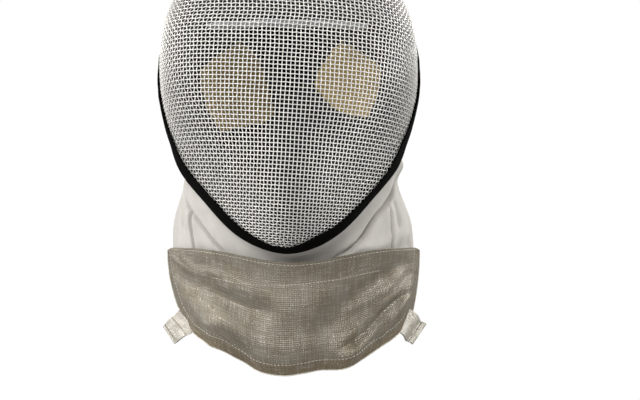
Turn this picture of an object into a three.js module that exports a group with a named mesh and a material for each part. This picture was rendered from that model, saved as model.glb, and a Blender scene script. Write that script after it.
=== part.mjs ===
// Fencing mask, upright as worn: face toward -Y, +X to the viewer's right, +Z up, millimetres.
// The origin is the middle of the head that wears it.
import * as THREE from "three";

const { Vector3, MathUtils } = THREE;

// Sizes of the face mesh
const FACE_PLANE = -115;
const POLE_HEIGHT = -28;
const POLE_DEPTH = 6;
const MESH_WALL = 2;
const KEEL_RISE = 6;
const KEEL_WIDTH = 38;
const RIM_STATIONS = 64;
const DOME_RINGS = 9;

// Right half of the mesh edge from chin to crown: x, depth behind the face plane and z,
// wrap the angle that the dome's section has turned there, square the fullness of that section.
const RIM = [
  { at: "chin", x: 0, depth: 50, z: -128.5, wrap: 62, square: 2.2 },
  { at: "chin side", x: 20, depth: 52, z: -124, wrap: 58, square: 2.15 },
  { at: "jaw front", x: 40.5, depth: 57, z: -112, wrap: 48, square: 2.05 },
  { at: "jaw", x: 64, depth: 69, z: -88, wrap: 42, square: 2 },
  { at: "jaw back", x: 84, depth: 85, z: -64, wrap: 44, square: 2.05 },
  { at: "cheek", x: 92.5, depth: 98, z: -45, wrap: 54, square: 2.3 },
  { at: "ear low", x: 98, depth: 107, z: -31, wrap: 65, square: 2.5 },
  { at: "ear", x: 106, depth: 124, z: 4, wrap: 80, square: 2.8 },
  { at: "temple", x: 102.5, depth: 138, z: 45, wrap: 91, square: 2.8 },
  { at: "upper", x: 81, depth: 148, z: 83, wrap: 104, square: 2.4 },
  { at: "crown side", x: 44, depth: 153, z: 103, wrap: 114, square: 2.15 },
  { at: "crown", x: 0, depth: 154, z: 109, wrap: 118, square: 2 },
];

// Sizes of the rim trim, a channel folded over the mesh edge
const TRIM_FACE = 6.5;
const TRIM_WALL = 1.7;
const TRIM_GAP = 0.35;
const TRIM_PAST = 2.4;

// Section of the trim: along is the share of the leg measured back from the mesh edge,
// past the distance beyond that edge, side which face of the mesh, out the distance from that face.
const TRIM_SECTION = [
  { along: 1, past: 0, side: "front", out: TRIM_GAP },
  { along: 0.97, past: 0, side: "front", out: TRIM_GAP + 0.75 * TRIM_WALL },
  { along: 0.5, past: 0, side: "front", out: TRIM_GAP + TRIM_WALL },
  { along: 0, past: 1.2, side: "front", out: TRIM_GAP + TRIM_WALL },
  { along: 0, past: TRIM_PAST, side: "front", out: 0.8 },
  { along: 0, past: TRIM_PAST, side: "back", out: 0.8 },
  { along: 0, past: 1.2, side: "back", out: TRIM_GAP + TRIM_WALL },
  { along: 0.5, past: 0, side: "back", out: TRIM_GAP + TRIM_WALL },
  { along: 0.97, past: 0, side: "back", out: TRIM_GAP + 0.75 * TRIM_WALL },
  { along: 1, past: 0, side: "back", out: TRIM_GAP },
  { along: 0.5, past: 0, side: "back", out: TRIM_GAP },
  { along: 0, past: TRIM_GAP, side: "back", out: TRIM_GAP },
  { along: 0, past: TRIM_GAP, side: "front", out: TRIM_GAP },
  { along: 0.5, past: 0, side: "front", out: TRIM_GAP },
];

// Sizes of the head liner: a padded ring inside the mesh
const LINER_GAP = 1.2;
const LINER_SET_BACK = 12;
const LINER_EDGE = 5;
const LINER_PAD = 11;
const LINER_STEPS = 4;

// Front edge of the liner round the rim: turn is the share of the way from chin to crown,
// right and left how far along the dome from its middle to its rim the edge lies on each side.
const LINER_FRONT = [
  { turn: 0, right: 0.6, left: 0.6 },
  { turn: 0.14, right: 0.6, left: 0.6 },
  { turn: 0.3, right: 0.56, left: 0.55 },
  { turn: 0.45, right: 0.5, left: 0.45 },
  { turn: 0.53, right: 0.455, left: 0.405 },
  { turn: 0.6, right: 0.435, left: 0.385 },
  { turn: 0.66, right: 0.435, left: 0.385 },
  { turn: 0.69, right: 0.425, left: 0.39 },
  { turn: 0.72, right: 0.39, left: 0.38 },
  { turn: 0.75, right: 0.34, left: 0.34 },
  { turn: 0.8, right: 0.285, left: 0.285 },
  { turn: 0.86, right: 0.247, left: 0.247 },
  { turn: 0.93, right: 0.23, left: 0.23 },
  { turn: 1, right: 0.225, left: 0.225 },
];

// Sizes of the light binding along the liner's edge at the forehead
const BINDING_HEIGHT = 4.2;
const BINDING_DEPTH = 6;
const BINDING_END = 0.725;
const BINDING_GAP = 1;
const BINDING_STEPS = 20;

// Sizes of the white bib
const BIB_WALL = 2.4;
const BIB_TUCK = 6;
const BIB_CLEAR = 3.3;
const BIB_END_TURN = 0.37;
const BIB_STATIONS = 32;
const BIB_ROWS = 7;
const BIB_HALF_WIDTH = 93;
const BIB_SHIFT = 4.2;
const BIB_FLARE = 22;
const BIB_PINCH = 22;
const BIB_FRONT_DEPTH = 68.3;
const BIB_SIDE_DEPTH = 127;
const BIB_BOTTOM = -205;
const BIB_SIDE_RISE = 50;
const BIB_SWING = 26;
const BIB_END_SWING = 8;
const BIB_HANG = 30;

// Sizes of the conductive bib
const LAME_WALL = 1.4;
const LAME_HALF_WIDTH = 102;
const LAME_TURN = 58;
const LAME_FRONT_DEPTH = 57;
const LAME_SIDE_DEPTH = 108.5;
const LAME_TOP = -137.6;
const LAME_TOP_RISE = 9.6;
const LAME_TOP_REACH = 80;
const LAME_CORNER_DROP = 2.6;
const LAME_TAPER = 0.07;
const LAME_SHIFT = 4;
const LAME_SWAY = 1.5;
const LAME_STATIONS = 40;
const LAME_ROWS = 11;
const LAME_HALF_CLOTH = 122;
const LAME_CLOTH_HEIGHT = 82;

// Hem of the conductive bib: side -1 to 1 across its width, z the height of its lower edge
const LAME_HEM = [
  { side: -1, z: -176 },
  { side: -0.85, z: -194.5 },
  { side: -0.7, z: -202.5 },
  { side: -0.6, z: -206.5 },
  { side: -0.49, z: -213 },
  { side: -0.33, z: -219.5 },
  { side: -0.05, z: -222.5 },
  { side: 0.15, z: -222 },
  { side: 0.35, z: -219.5 },
  { side: 0.53, z: -213 },
  { side: 0.66, z: -206.5 },
  { side: 0.88, z: -194.7 },
  { side: 1, z: -180 },
];

// Folds of the conductive bib: each a line across the cloth from one point to another,
// across -1 to 1 from the left edge to the right, down 0 to 1 from the top edge to the hem.
const LAME_FOLDS = [
  { name: "left drape", across1: -0.74, down1: 0.2, across2: -0.26, down2: 0.56, width: 9, rise: -4 },
  { name: "right drape", across1: 0.76, down1: 0.2, across2: 0.24, down2: 0.6, width: 10, rise: -4.5 },
  { name: "left swag", across1: -0.86, down1: 0.46, across2: -0.36, down2: 0.74, width: 8, rise: 2.6 },
  { name: "right swag", across1: 0.84, down1: 0.5, across2: 0.4, down2: 0.86, width: 8, rise: 4 },
  { name: "middle sag", across1: -0.2, down1: 0.58, across2: 0.2, down2: 0.6, width: 12, rise: -2 },
  { name: "left hem wave", across1: -0.38, down1: 0.86, across2: -0.34, down2: 1.1, width: 12, rise: -4 },
  { name: "right hem wave", across1: 0.36, down1: 0.8, across2: 0.38, down2: 1.1, width: 13, rise: 5 },
  { name: "lower left wave", across1: -0.6, down1: 0.8, across2: -0.58, down2: 1.1, width: 9, rise: 3 },
];

// Sizes of a clip tab, and its place on the conductive bib
const TAB_WIDTH = 19;
const TAB_LENGTH = 32;
const TAB_WALL = 2.2;
const TAB_CORNER = 2.5;
const TAB_TILT = 27;
const TAB_FACING = 48;
const TABS = [
  { name: "clip_tab_left", side: -1, across: -0.87, down: 0.92, gap: 2.35 },
  { name: "clip_tab_right", side: 1, across: 0.86, down: 0.83, gap: 3.1 },
];

// Sections of the back pad's front face, from nape to top: half its half width,
// depth its middle and side its edges behind the face plane.
const BACK_PAD = [
  { at: "nape", z: -102, half: 38, depth: 204, side: 194 },
  { at: "nape corner", z: -90, half: 61, depth: 209, side: 189 },
  { at: "low", z: -62, half: 79, depth: 215, side: 186 },
  { at: "middle", z: -5, half: 88, depth: 220, side: 183 },
  { at: "high", z: 42, half: 86, depth: 213, side: 180 },
  { at: "top corner", z: 72, half: 70, depth: 198, side: 176 },
  { at: "top", z: 85, half: 48, depth: 188, side: 175 },
];
const BACK_TURN = 62;
const BACK_WALL = 11;
const BACK_EDGE = 4;
const BACK_STATIONS = 26;
const BACK_ROWS = 15;

// Sections of the tongue from the crown rim down to its tip: half its half width,
// depth its distance behind the face plane above the pad; below its top it lies on the pad.
const TONGUE = [
  { at: "rim", z: 103.9, half: 19, depth: 149 },
  { at: "bend", z: 94, half: 30, depth: 166 },
  { at: "pad top", z: 78, half: 42 },
  { at: "shoulder", z: 62, half: 44 },
  { at: "taper", z: 36, half: 23 },
  { at: "tip", z: 7, half: 3.5 },
];
const TONGUE_WALL = 3;
const TONGUE_BEFORE = 3.9;
const TONGUE_STATIONS = 10;
const TONGUE_ROWS = 10;

// Corners of the cushions on the back pad, seen from the front
const CUSHION_LEFT = [
  { x: -45.5, z: 53 },
  { x: -27.5, z: 36 },
  { x: -14.5, z: -14 },
  { x: -42, z: -24 },
  { x: -67, z: -29 },
  { x: -77, z: -9 },
  { x: -79, z: 28 },
];
const CUSHION_RIGHT = [
  { x: 45, z: 53 },
  { x: 82, z: 28 },
  { x: 78, z: -4 },
  { x: 71, z: -17 },
  { x: 42, z: -10 },
  { x: 20, z: 18 },
];
const CUSHION_PAD = 7;
const CUSHION_GAP = 0.8;
const CUSHION_STATIONS = 22;
const CUSHION_RINGS = 3;

const TINY = 1e-7;

// Joins section loops into one closed solid; an open run gets an end cap on its first and last loop.
function sweep(loops, closed) {
  const corners = [];
  const same = (a, b) => a.distanceToSquared(b) < TINY;
  const triangle = (a, b, c) => {
    if (!same(a, b) && !same(b, c) && !same(c, a)) corners.push(a, b, c);
  };
  const quad = (a, b, c, d) => {
    triangle(a, b, c);
    triangle(a, c, d);
  };
  const count = loops[0].length;
  const spans = closed ? loops.length : loops.length - 1;
  for (let i = 0; i < spans; i += 1) {
    const here = loops[i];
    const next = loops[(i + 1) % loops.length];
    for (let j = 0; j < count; j += 1) {
      const k = (j + 1) % count;
      quad(here[j], here[k], next[k], next[j]);
    }
  }
  if (!closed) {
    const first = loops[0];
    const last = loops[loops.length - 1];
    for (let j = 0; j < count / 2 - 1; j += 1) {
      const k = count - 1 - j;
      quad(first[j], first[k], first[k - 1], first[j + 1]);
      quad(last[j], last[j + 1], last[k - 1], last[k]);
    }
  }
  let volume = 0;
  for (let i = 0; i < corners.length; i += 3) {
    volume += corners[i].dot(new Vector3().crossVectors(corners[i + 1], corners[i + 2]));
  }
  return new THREE.BufferGeometry().setFromPoints(volume < 0 ? corners.reverse() : corners);
}

const steps = (count) => Array.from({ length: count + 1 }, (_, i) => i / count);
const signedPower = (value, power) => Math.sign(value) * Math.abs(value) ** power;

// Value of a column of a table at a place between its rows, smoothly through them all
function column(rows, key, value, at) {
  const last = rows.length - 1;
  let i = 0;
  while (i < last - 1 && (at - rows[i + 1][key]) * (rows[last][key] - rows[0][key]) > 0) i += 1;
  const share = (at - rows[i][key]) / (rows[i + 1][key] - rows[i][key]);
  const slope = (n) => {
    const a = rows[Math.max(n - 1, 0)];
    const b = rows[Math.min(n + 1, last)];
    return (b[value] - a[value]) / (b[key] - a[key]);
  };
  const span = rows[i + 1][key] - rows[i][key];
  const s2 = share * share;
  const s3 = s2 * share;
  return (
    (2 * s3 - 3 * s2 + 1) * rows[i][value] +
    (s3 - 2 * s2 + share) * span * slope(i) +
    (3 * s2 - 2 * s3) * rows[i + 1][value] +
    (s3 - s2) * span * slope(i + 1)
  );
}

// The rim all round, from the chin up the right side, over the crown and down the left
const roundRim = [
  ...RIM,
  ...RIM.slice(1, -1)
    .reverse()
    .map((row) => ({ ...row, x: -row.x })),
];
const rimCurve = new THREE.CatmullRomCurve3(
  roundRim.map((row) => new Vector3(row.x, row.depth, row.z)),
  true,
);
const formCurve = new THREE.CatmullRomCurve3(
  roundRim.map((row) => new Vector3(row.wrap, row.square, 0)),
  true,
  "catmullrom",
);
rimCurve.arcLengthDivisions = 900;

// Point of the mesh's outer face: u round the rim from the chin, t from the dome's middle to its rim
function dome(u, t) {
  const place = rimCurve.getUtoTmapping(u - Math.floor(u));
  const rim = rimCurve.getPoint(place);
  const form = formCurve.getPoint(place);
  const power = 2 / form.y;
  const wrap = MathUtils.degToRad(form.x);
  const angle = wrap * t;
  const spread = (Math.sin(angle) / Math.sin(wrap)) ** power;
  const turned = (1 - signedPower(Math.cos(angle), power)) / (1 - signedPower(Math.cos(wrap), power));
  const x = rim.x * spread;
  const keel = KEEL_RISE * Math.exp(-((x / KEEL_WIDTH) ** 2)) * (1 - Math.min(t, 1) ** 2);
  const depth = POLE_DEPTH + (rim.y - POLE_DEPTH) * turned - keel;
  return new Vector3(x, FACE_PLANE + depth, POLE_HEIGHT + (rim.z - POLE_HEIGHT) * spread);
}

// Outward normal of the mesh there
function domeNormal(u, t) {
  if (t < 0.01) return new Vector3(0, -1, 0);
  const nudge = 0.002;
  const round = dome(u + nudge, t).sub(dome(u - nudge, t));
  const along = dome(u, t + nudge).sub(dome(u, t - nudge));
  return along.cross(round).normalize();
}

const domeInside = (u, t, inset) => dome(u, t).addScaledVector(domeNormal(u, t), -inset);

// Where on the dome a line from its rim toward its middle has run the given length
function inFromRim(u, length) {
  const stride = 0.002;
  let t = 1;
  let run = 0;
  let here = dome(u, t);
  while (run < length && t > 0) {
    const next = dome(u, t - stride);
    run += next.distanceTo(here);
    here = next;
    t -= stride;
  }
  return t;
}

const rimStations = Array.from({ length: RIM_STATIONS }, (_, i) => i / RIM_STATIONS);
const chinToCrown = (u) => 2 * Math.min(u, 1 - u);

// The last two spans of each line of the dome lie under the trim's leg
function faceMesh() {
  return sweep(
    rimStations.map((u) => {
      const open = inFromRim(u, TRIM_FACE);
      const rings = [...steps(DOME_RINGS).map((s) => s * open), inFromRim(u, TRIM_FACE / 2), 1];
      return [
        ...rings.map((t) => dome(u, t)),
        ...rings.toReversed().map((t) => domeInside(u, t, MESH_WALL)),
      ];
    }),
    true,
  );
}

// A point given by its place along the mesh from the rim, or past it, and its distance off the mesh
function offRim(u, back, past, out) {
  const t = back > 0 ? inFromRim(u, back) : 1;
  const edge = dome(u, 1).sub(dome(u, 0.995)).normalize();
  return dome(u, t).addScaledVector(domeNormal(u, t), out).addScaledVector(edge, past);
}

function rimTrim() {
  return sweep(
    rimStations.map((u) =>
      TRIM_SECTION.map((row) =>
        offRim(u, row.along * TRIM_FACE, row.past, row.side === "front" ? row.out : -MESH_WALL - row.out),
      ),
    ),
    true,
  );
}

const linerFront = (u) => column(LINER_FRONT, "turn", u < 0.5 ? "right" : "left", chinToCrown(u));

function headLiner() {
  const rows = steps(LINER_STEPS);
  return sweep(
    rimStations.map((u) => {
      const from = linerFront(u);
      const to = inFromRim(u, LINER_SET_BACK);
      const place = (s) => MathUtils.lerp(from, to, s);
      const pad = (s) => LINER_EDGE + (LINER_PAD - LINER_EDGE) * Math.sin(Math.PI * s) ** 0.6;
      return [
        ...rows.map((s) => domeInside(u, place(s), MESH_WALL + LINER_GAP)),
        ...rows.toReversed().map((s) => domeInside(u, place(s), MESH_WALL + LINER_GAP + pad(s))),
      ];
    }),
    true,
  );
}

// Where on the dome a line from a place toward the middle has run the given length
function inFrom(u, t, length) {
  return t - (0.02 * length) / dome(u, t).distanceTo(dome(u, t - 0.02));
}

function linerBinding() {
  const turns = steps(BINDING_STEPS).map((s) => (BINDING_END + 2 * (1 - BINDING_END) * s) / 2);
  return sweep(
    turns.map((u) => {
      const near = inFrom(u, linerFront(u), BINDING_GAP);
      const far = inFrom(u, linerFront(u), BINDING_GAP + BINDING_HEIGHT);
      const top = MESH_WALL + LINER_GAP;
      return [
        domeInside(u, far, top),
        domeInside(u, near, top),
        domeInside(u, near, top + BINDING_DEPTH),
        domeInside(u, far, top + BINDING_DEPTH),
      ];
    }),
    false,
  );
}

// Distance from a point to a fold's line, both in cloth millimetres
function foldShift(folds, across, down, halfCloth, clothHeight) {
  let shift = 0;
  for (const fold of folds) {
    const a = new THREE.Vector2(fold.across1 * halfCloth, fold.down1 * clothHeight);
    const b = new THREE.Vector2(fold.across2 * halfCloth, fold.down2 * clothHeight);
    const p = new THREE.Vector2(across * halfCloth, down * clothHeight);
    const line = b.clone().sub(a);
    const share = MathUtils.clamp(p.clone().sub(a).dot(line) / line.lengthSq(), 0, 1);
    const gap = p.distanceTo(a.addScaledVector(line, share));
    shift += fold.rise * Math.exp(-((gap / fold.width) ** 2));
  }
  return shift;
}

// Point of the bib's outer face: across -1 to 1 from its left end to its right, down 0 to 1
function bibPoint(across, down) {
  const u = (across * BIB_END_TURN) / 2;
  const rim = u < 0 ? u + 1 : u;
  const tucked = offRim(rim, BIB_TUCK, 0, -MESH_WALL - BIB_CLEAR);
  const leaving = offRim(rim, 0, 3, -MESH_WALL - BIB_CLEAR);
  const tuckShare = 0.12;
  if (down < tuckShare) return tucked.lerp(leaving, down / tuckShare);
  const share = (down - tuckShare) / (1 - tuckShare);
  const turn = (across * Math.PI) / 2.15;
  const edge = dome(rim, 1).sub(dome(rim, 0.995)).normalize();
  const end = new Vector3(
    BIB_SHIFT + BIB_HALF_WIDTH * Math.sin(turn),
    FACE_PLANE + BIB_SIDE_DEPTH - (BIB_SIDE_DEPTH - BIB_FRONT_DEPTH) * Math.cos(turn),
    BIB_BOTTOM + BIB_SIDE_RISE * across * across,
  );
  const swing = MathUtils.lerp(BIB_SWING, BIB_END_SWING, across * across);
  const pinch = new Vector3(-BIB_PINCH * signedPower(across, 3), 0, 0);
  const curve = new THREE.CubicBezierCurve3(
    leaving,
    leaving.clone().addScaledVector(edge, swing).add(pinch),
    end.clone().add(new Vector3(BIB_FLARE * across, 0, BIB_HANG)),
    end,
  );
  return curve.getPoint(share);
}

// Point of the conductive bib's outer face, in and out of its folds
function lamePoint(across, down) {
  const most = MathUtils.degToRad(LAME_TURN);
  const turn = most * across;
  const side = Math.sin(turn) / Math.sin(most);
  const share = Math.abs(side);
  const corner = Math.max(0, (Math.abs(across) - 0.9) / 0.1);
  const top =
    LAME_TOP +
    LAME_TOP_RISE * MathUtils.smoothstep(LAME_HALF_WIDTH * share, 0, LAME_TOP_REACH) -
    LAME_CORNER_DROP * corner * corner;
  const bottom = column(LAME_HEM, "side", "z", side);
  const x = LAME_SHIFT + LAME_SWAY * down * down + LAME_HALF_WIDTH * side * (1 - LAME_TAPER * down * down);
  const back = (LAME_SIDE_DEPTH - LAME_FRONT_DEPTH) * ((1 - Math.cos(turn)) / (1 - Math.cos(most)));
  const shift = foldShift(LAME_FOLDS, across, down, LAME_HALF_CLOTH, LAME_CLOTH_HEIGHT);
  const facing = new Vector3(Math.sin(turn), -Math.cos(turn), 0);
  const flat = new Vector3(x, FACE_PLANE + LAME_FRONT_DEPTH + back, MathUtils.lerp(top, bottom, down));
  return flat.addScaledVector(facing, shift);
}

// A cloth wall over a grid: the face that the function gives, and one a wall's thickness behind it
function clothWall(point, across, rows, wall) {
  const nudge = 0.004;
  const behind = (a, d) => {
    const sideways = point(Math.min(a + nudge, 1), d).sub(point(Math.max(a - nudge, -1), d));
    const down = point(a, Math.min(d + nudge, 1)).sub(point(a, Math.max(d - nudge, 0)));
    return point(a, d).addScaledVector(sideways.cross(down).normalize(), wall);
  };
  return sweep(
    across.map((a) => [...rows.map((d) => point(a, d)), ...rows.toReversed().map((d) => behind(a, d))]),
    false,
  );
}

const bothWays = (count) => steps(count).map((s) => 2 * s - 1);

// A clip tab: a flat folded loop with rounded outer corners
function clipTab({ side, across, down, gap }) {
  const half = TAB_WIDTH / 2;
  const outline = new THREE.Shape()
    .moveTo(-half, 0)
    .lineTo(half, 0)
    .lineTo(half, -TAB_LENGTH + TAB_CORNER)
    .quadraticCurveTo(half, -TAB_LENGTH, half - TAB_CORNER, -TAB_LENGTH)
    .lineTo(-half + TAB_CORNER, -TAB_LENGTH)
    .quadraticCurveTo(-half, -TAB_LENGTH, -half, -TAB_LENGTH + TAB_CORNER);
  const flat = new THREE.ExtrudeGeometry(outline, {
    depth: TAB_WALL,
    bevelEnabled: false,
    curveSegments: 4,
  });
  const facing = MathUtils.degToRad(side * TAB_FACING);
  const sideways = new Vector3(Math.cos(facing), Math.sin(facing), 0);
  const outward = new Vector3(Math.sin(facing), -Math.cos(facing), 0);
  const place = new THREE.Matrix4().makeBasis(sideways, new Vector3(0, 0, 1), outward);
  const anchor = lamePoint(across, down);
  anchor.addScaledVector(outward, -LAME_WALL - gap - TAB_WALL);
  return flat
    .rotateZ(MathUtils.degToRad(side * (90 - TAB_TILT)))
    .applyMatrix4(place)
    .translate(anchor.x, anchor.y, anchor.z);
}

// Depth of the back pad's front face behind the face plane at a given x and height
function padDepth(x, z) {
  const half = column(BACK_PAD, "z", "half", z);
  const middle = column(BACK_PAD, "z", "depth", z);
  const side = column(BACK_PAD, "z", "side", z);
  const turn = MathUtils.degToRad(BACK_TURN);
  const sine = MathUtils.clamp((x / half) * Math.sin(turn), -1, 1);
  const cosine = Math.sqrt(1 - sine * sine);
  return side + ((middle - side) * (cosine - Math.cos(turn))) / (1 - Math.cos(turn));
}

const padPoint = (x, z, before) => new Vector3(x, FACE_PLANE + padDepth(x, z) - before, z);

function backPad() {
  const low = BACK_PAD[0].z;
  const high = BACK_PAD[BACK_PAD.length - 1].z;
  const turn = MathUtils.degToRad(BACK_TURN);
  const rows = steps(BACK_ROWS);
  return sweep(
    bothWays(BACK_STATIONS).map((a) => {
      const face = (s) => {
        const z = MathUtils.lerp(low, high, s);
        const half = column(BACK_PAD, "z", "half", z);
        return padPoint((half * Math.sin(turn * a)) / Math.sin(turn), z, 0);
      };
      const back = (s) => {
        const round = Math.min(1, 4 * Math.min(s, 1 - s), 5 * (1 - Math.abs(a)));
        const wall = BACK_EDGE + (BACK_WALL - BACK_EDGE) * Math.sqrt(round * (2 - round));
        const outward = new Vector3(Math.sin(turn * a), Math.cos(turn * a), s > 0.6 ? s - 0.6 : 0);
        return face(s).addScaledVector(outward.normalize(), wall);
      };
      return [...rows.map(face), ...rows.toReversed().map(back)];
    }),
    false,
  );
}

function backTongue() {
  const landing = TONGUE.findIndex((row) => row.at === "pad top");
  const padTop = TONGUE[landing].z;
  const rows = TONGUE.map((row) => ({ ...row, depth: row.depth ?? padDepth(0, row.z) - TONGUE_BEFORE }));
  const heights = steps(TONGUE_ROWS).map((s) => MathUtils.lerp(rows[0].z, rows[rows.length - 1].z, s));
  const face = (a, z) => {
    const x = a * column(rows, "z", "half", z);
    if (z <= padTop) return padPoint(x, z, TONGUE_BEFORE);
    const bow = (padDepth(0, padTop) - padDepth(x, padTop)) * ((rows[0].z - z) / (rows[0].z - padTop));
    return new Vector3(x, FACE_PLANE + column(rows, "z", "depth", z) - bow, z);
  };
  return sweep(
    bothWays(TONGUE_STATIONS).map((a) => [
      ...heights.map((z) => face(a, z)),
      ...heights.toReversed().map((z) => face(a, z).add(new Vector3(0, TONGUE_WALL, 0))),
    ]),
    false,
  );
}

// A cushion: a rounded outline laid on the back pad and domed toward the head
function cushion(corners) {
  const outline = new THREE.CatmullRomCurve3(
    corners.map((corner) => new Vector3(corner.x, 0, corner.z)),
    true,
    "catmullrom",
    0.3,
  );
  const middle = corners
    .reduce((sum, corner) => sum.add(new Vector3(corner.x, 0, corner.z)), new Vector3())
    .divideScalar(corners.length);
  const shares = steps(CUSHION_RINGS);
  return sweep(
    Array.from({ length: CUSHION_STATIONS }, (_, i) => {
      const rim = outline.getPointAt(i / CUSHION_STATIONS);
      const at = (share, before) => {
        const flat = middle.clone().lerp(rim, share);
        return padPoint(flat.x, flat.z, before);
      };
      const domed = (share) => CUSHION_GAP + 1.5 + (CUSHION_PAD - 1.5) * Math.sqrt(1 - share ** 3);
      return [
        ...shares.map((share) => at(share, domed(share))),
        ...shares.toReversed().map((share) => at(share, CUSHION_GAP)),
      ];
    }),
    true,
  );
}

const mask = new THREE.Group();

function piece(name, geometry, color, roughness, metalness) {
  const material = new THREE.MeshStandardMaterial({ color, roughness, metalness });
  const mesh = new THREE.Mesh(geometry, material);
  mesh.name = name;
  mask.add(mesh);
}

piece("face_mesh", faceMesh(), 0xd8d9dc, 0.4, 0.8);
piece("rim_trim", rimTrim(), 0x0c0c0c, 0.55, 0);
piece("bib", clothWall(bibPoint, bothWays(BIB_STATIONS), steps(BIB_ROWS), BIB_WALL), 0xeceae4, 0.85, 0);
const lame = clothWall(lamePoint, bothWays(LAME_STATIONS), steps(LAME_ROWS), LAME_WALL);
piece("lame_bib", lame, 0x8c8577, 0.5, 0.6);
for (const tab of TABS) piece(tab.name, clipTab(tab), 0xb9b2a6, 0.5, 0.6);
piece("head_liner", headLiner(), 0x1c1c1f, 0.9, 0);
piece("liner_binding", linerBinding(), 0xb6b7ba, 0.85, 0);
piece("back_pad", backPad(), 0x222224, 0.9, 0);
piece("back_tongue", backTongue(), 0x0e0e0f, 0.8, 0);
piece("cushion_left", cushion(CUSHION_LEFT), 0xc2ad86, 0.85, 0);
piece("cushion_right", cushion(CUSHION_RIGHT), 0xc2ad86, 0.85, 0);

export default mask;
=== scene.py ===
"""Dresses a fencing mask: woven wire dome, black binding, padded inside, white bib and conductive bib."""

import logging
import math
from collections import defaultdict
from dataclasses import dataclass, field, replace
from enum import Enum
from functools import cache

import bmesh
import bpy
import numpy as np
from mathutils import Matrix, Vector
from mathutils.bvhtree import BVHTree


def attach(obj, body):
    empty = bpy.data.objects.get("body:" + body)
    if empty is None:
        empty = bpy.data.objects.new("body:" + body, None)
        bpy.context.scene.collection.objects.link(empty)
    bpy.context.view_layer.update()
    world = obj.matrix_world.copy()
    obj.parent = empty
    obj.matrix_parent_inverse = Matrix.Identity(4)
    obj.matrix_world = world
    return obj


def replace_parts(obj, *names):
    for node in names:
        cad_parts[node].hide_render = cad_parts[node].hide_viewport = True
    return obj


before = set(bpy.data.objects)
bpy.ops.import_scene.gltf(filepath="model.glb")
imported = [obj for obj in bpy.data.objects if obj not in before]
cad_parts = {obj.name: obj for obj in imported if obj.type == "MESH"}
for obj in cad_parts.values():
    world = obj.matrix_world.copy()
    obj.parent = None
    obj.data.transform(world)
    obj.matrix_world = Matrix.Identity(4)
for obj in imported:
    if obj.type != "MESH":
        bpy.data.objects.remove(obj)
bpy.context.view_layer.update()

LOG = logging.getLogger("fencing_mask")
MM = 0.001
BODY = "root"
FACE_PLANE = -115 * MM
MESH_WALL = 2 * MM
TINY = 1e-9
EDGE_SHARES = (0.0, 0.003, 0.008)
EVEN_FROM = 0.015

Socket = bpy.types.NodeSocket
Color = tuple[float, float, float]
Line = tuple[tuple[float, float], ...]
Value = float | Socket
Paint = Color | Socket


class Slot(str, Enum):
    """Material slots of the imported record."""

    WIRE = "steel_wire"
    VINYL = "rim_vinyl"
    BIB = "bib_cloth"
    LAME = "lame_cloth"
    TAB = "tab_cloth"
    LINER = "liner_cloth"
    TAPE = "binding_tape"
    PAD = "pad_cloth"
    TONGUE = "tongue_cloth"
    CUSHION = "cushion_cloth"


class Place(Enum):
    """Coordinates that a finish is laid out in, both in metres."""

    CLOTH = "UV"
    SOLID = "Object"


class Graph:
    """A shader node tree with short ways to add and join nodes."""

    def __init__(self, tree: bpy.types.NodeTree) -> None:
        """Keeps the tree and empties it."""
        self.tree = tree
        tree.nodes.clear()

    def add(self, kind: str, inputs: dict | None = None, **settings: object) -> bpy.types.Node:
        """Adds a node.

        Args:
            kind: The node's type, without the ShaderNode in front where it has one.
            inputs: Input name or number to a value or a socket to link from.
            settings: Properties of the node itself.

        Returns:
            The node.
        """
        full = kind if kind.startswith("Node") else "ShaderNode" + kind
        node = self.tree.nodes.new(full)
        for key, value in settings.items():
            setattr(node, key, value)
        for key, value in (inputs or {}).items():
            socket = node.inputs[key]
            if isinstance(value, Socket):
                self.tree.links.new(value, socket)
            else:
                socket.default_value = value
        return node

    def math(self, operation: str, first: Value, second: Value = 0.0, clamp: bool = False) -> Socket:
        """Adds a math node.

        Args:
            operation: The operation's name.
            first: A value or socket.
            second: A value or socket.
            clamp: Whether the result is held between 0 and 1.

        Returns:
            The result's socket.
        """
        node = self.add("Math", {0: first, 1: second}, operation=operation, use_clamp=clamp)
        return node.outputs[0]

    def mix(self, factor: Value, first: Paint, second: Paint) -> Socket:
        """Mixes two colours.

        Args:
            factor: Share of the second colour, a value or socket.
            first: Colour or socket.
            second: Colour or socket.

        Returns:
            The mixed colour's socket.
        """
        given = {0: factor, 6: first, 7: second}
        inputs = {key: (*value, 1) if isinstance(value, tuple) else value for key, value in given.items()}
        return self.add("Mix", inputs, data_type="RGBA").outputs[2]


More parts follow.
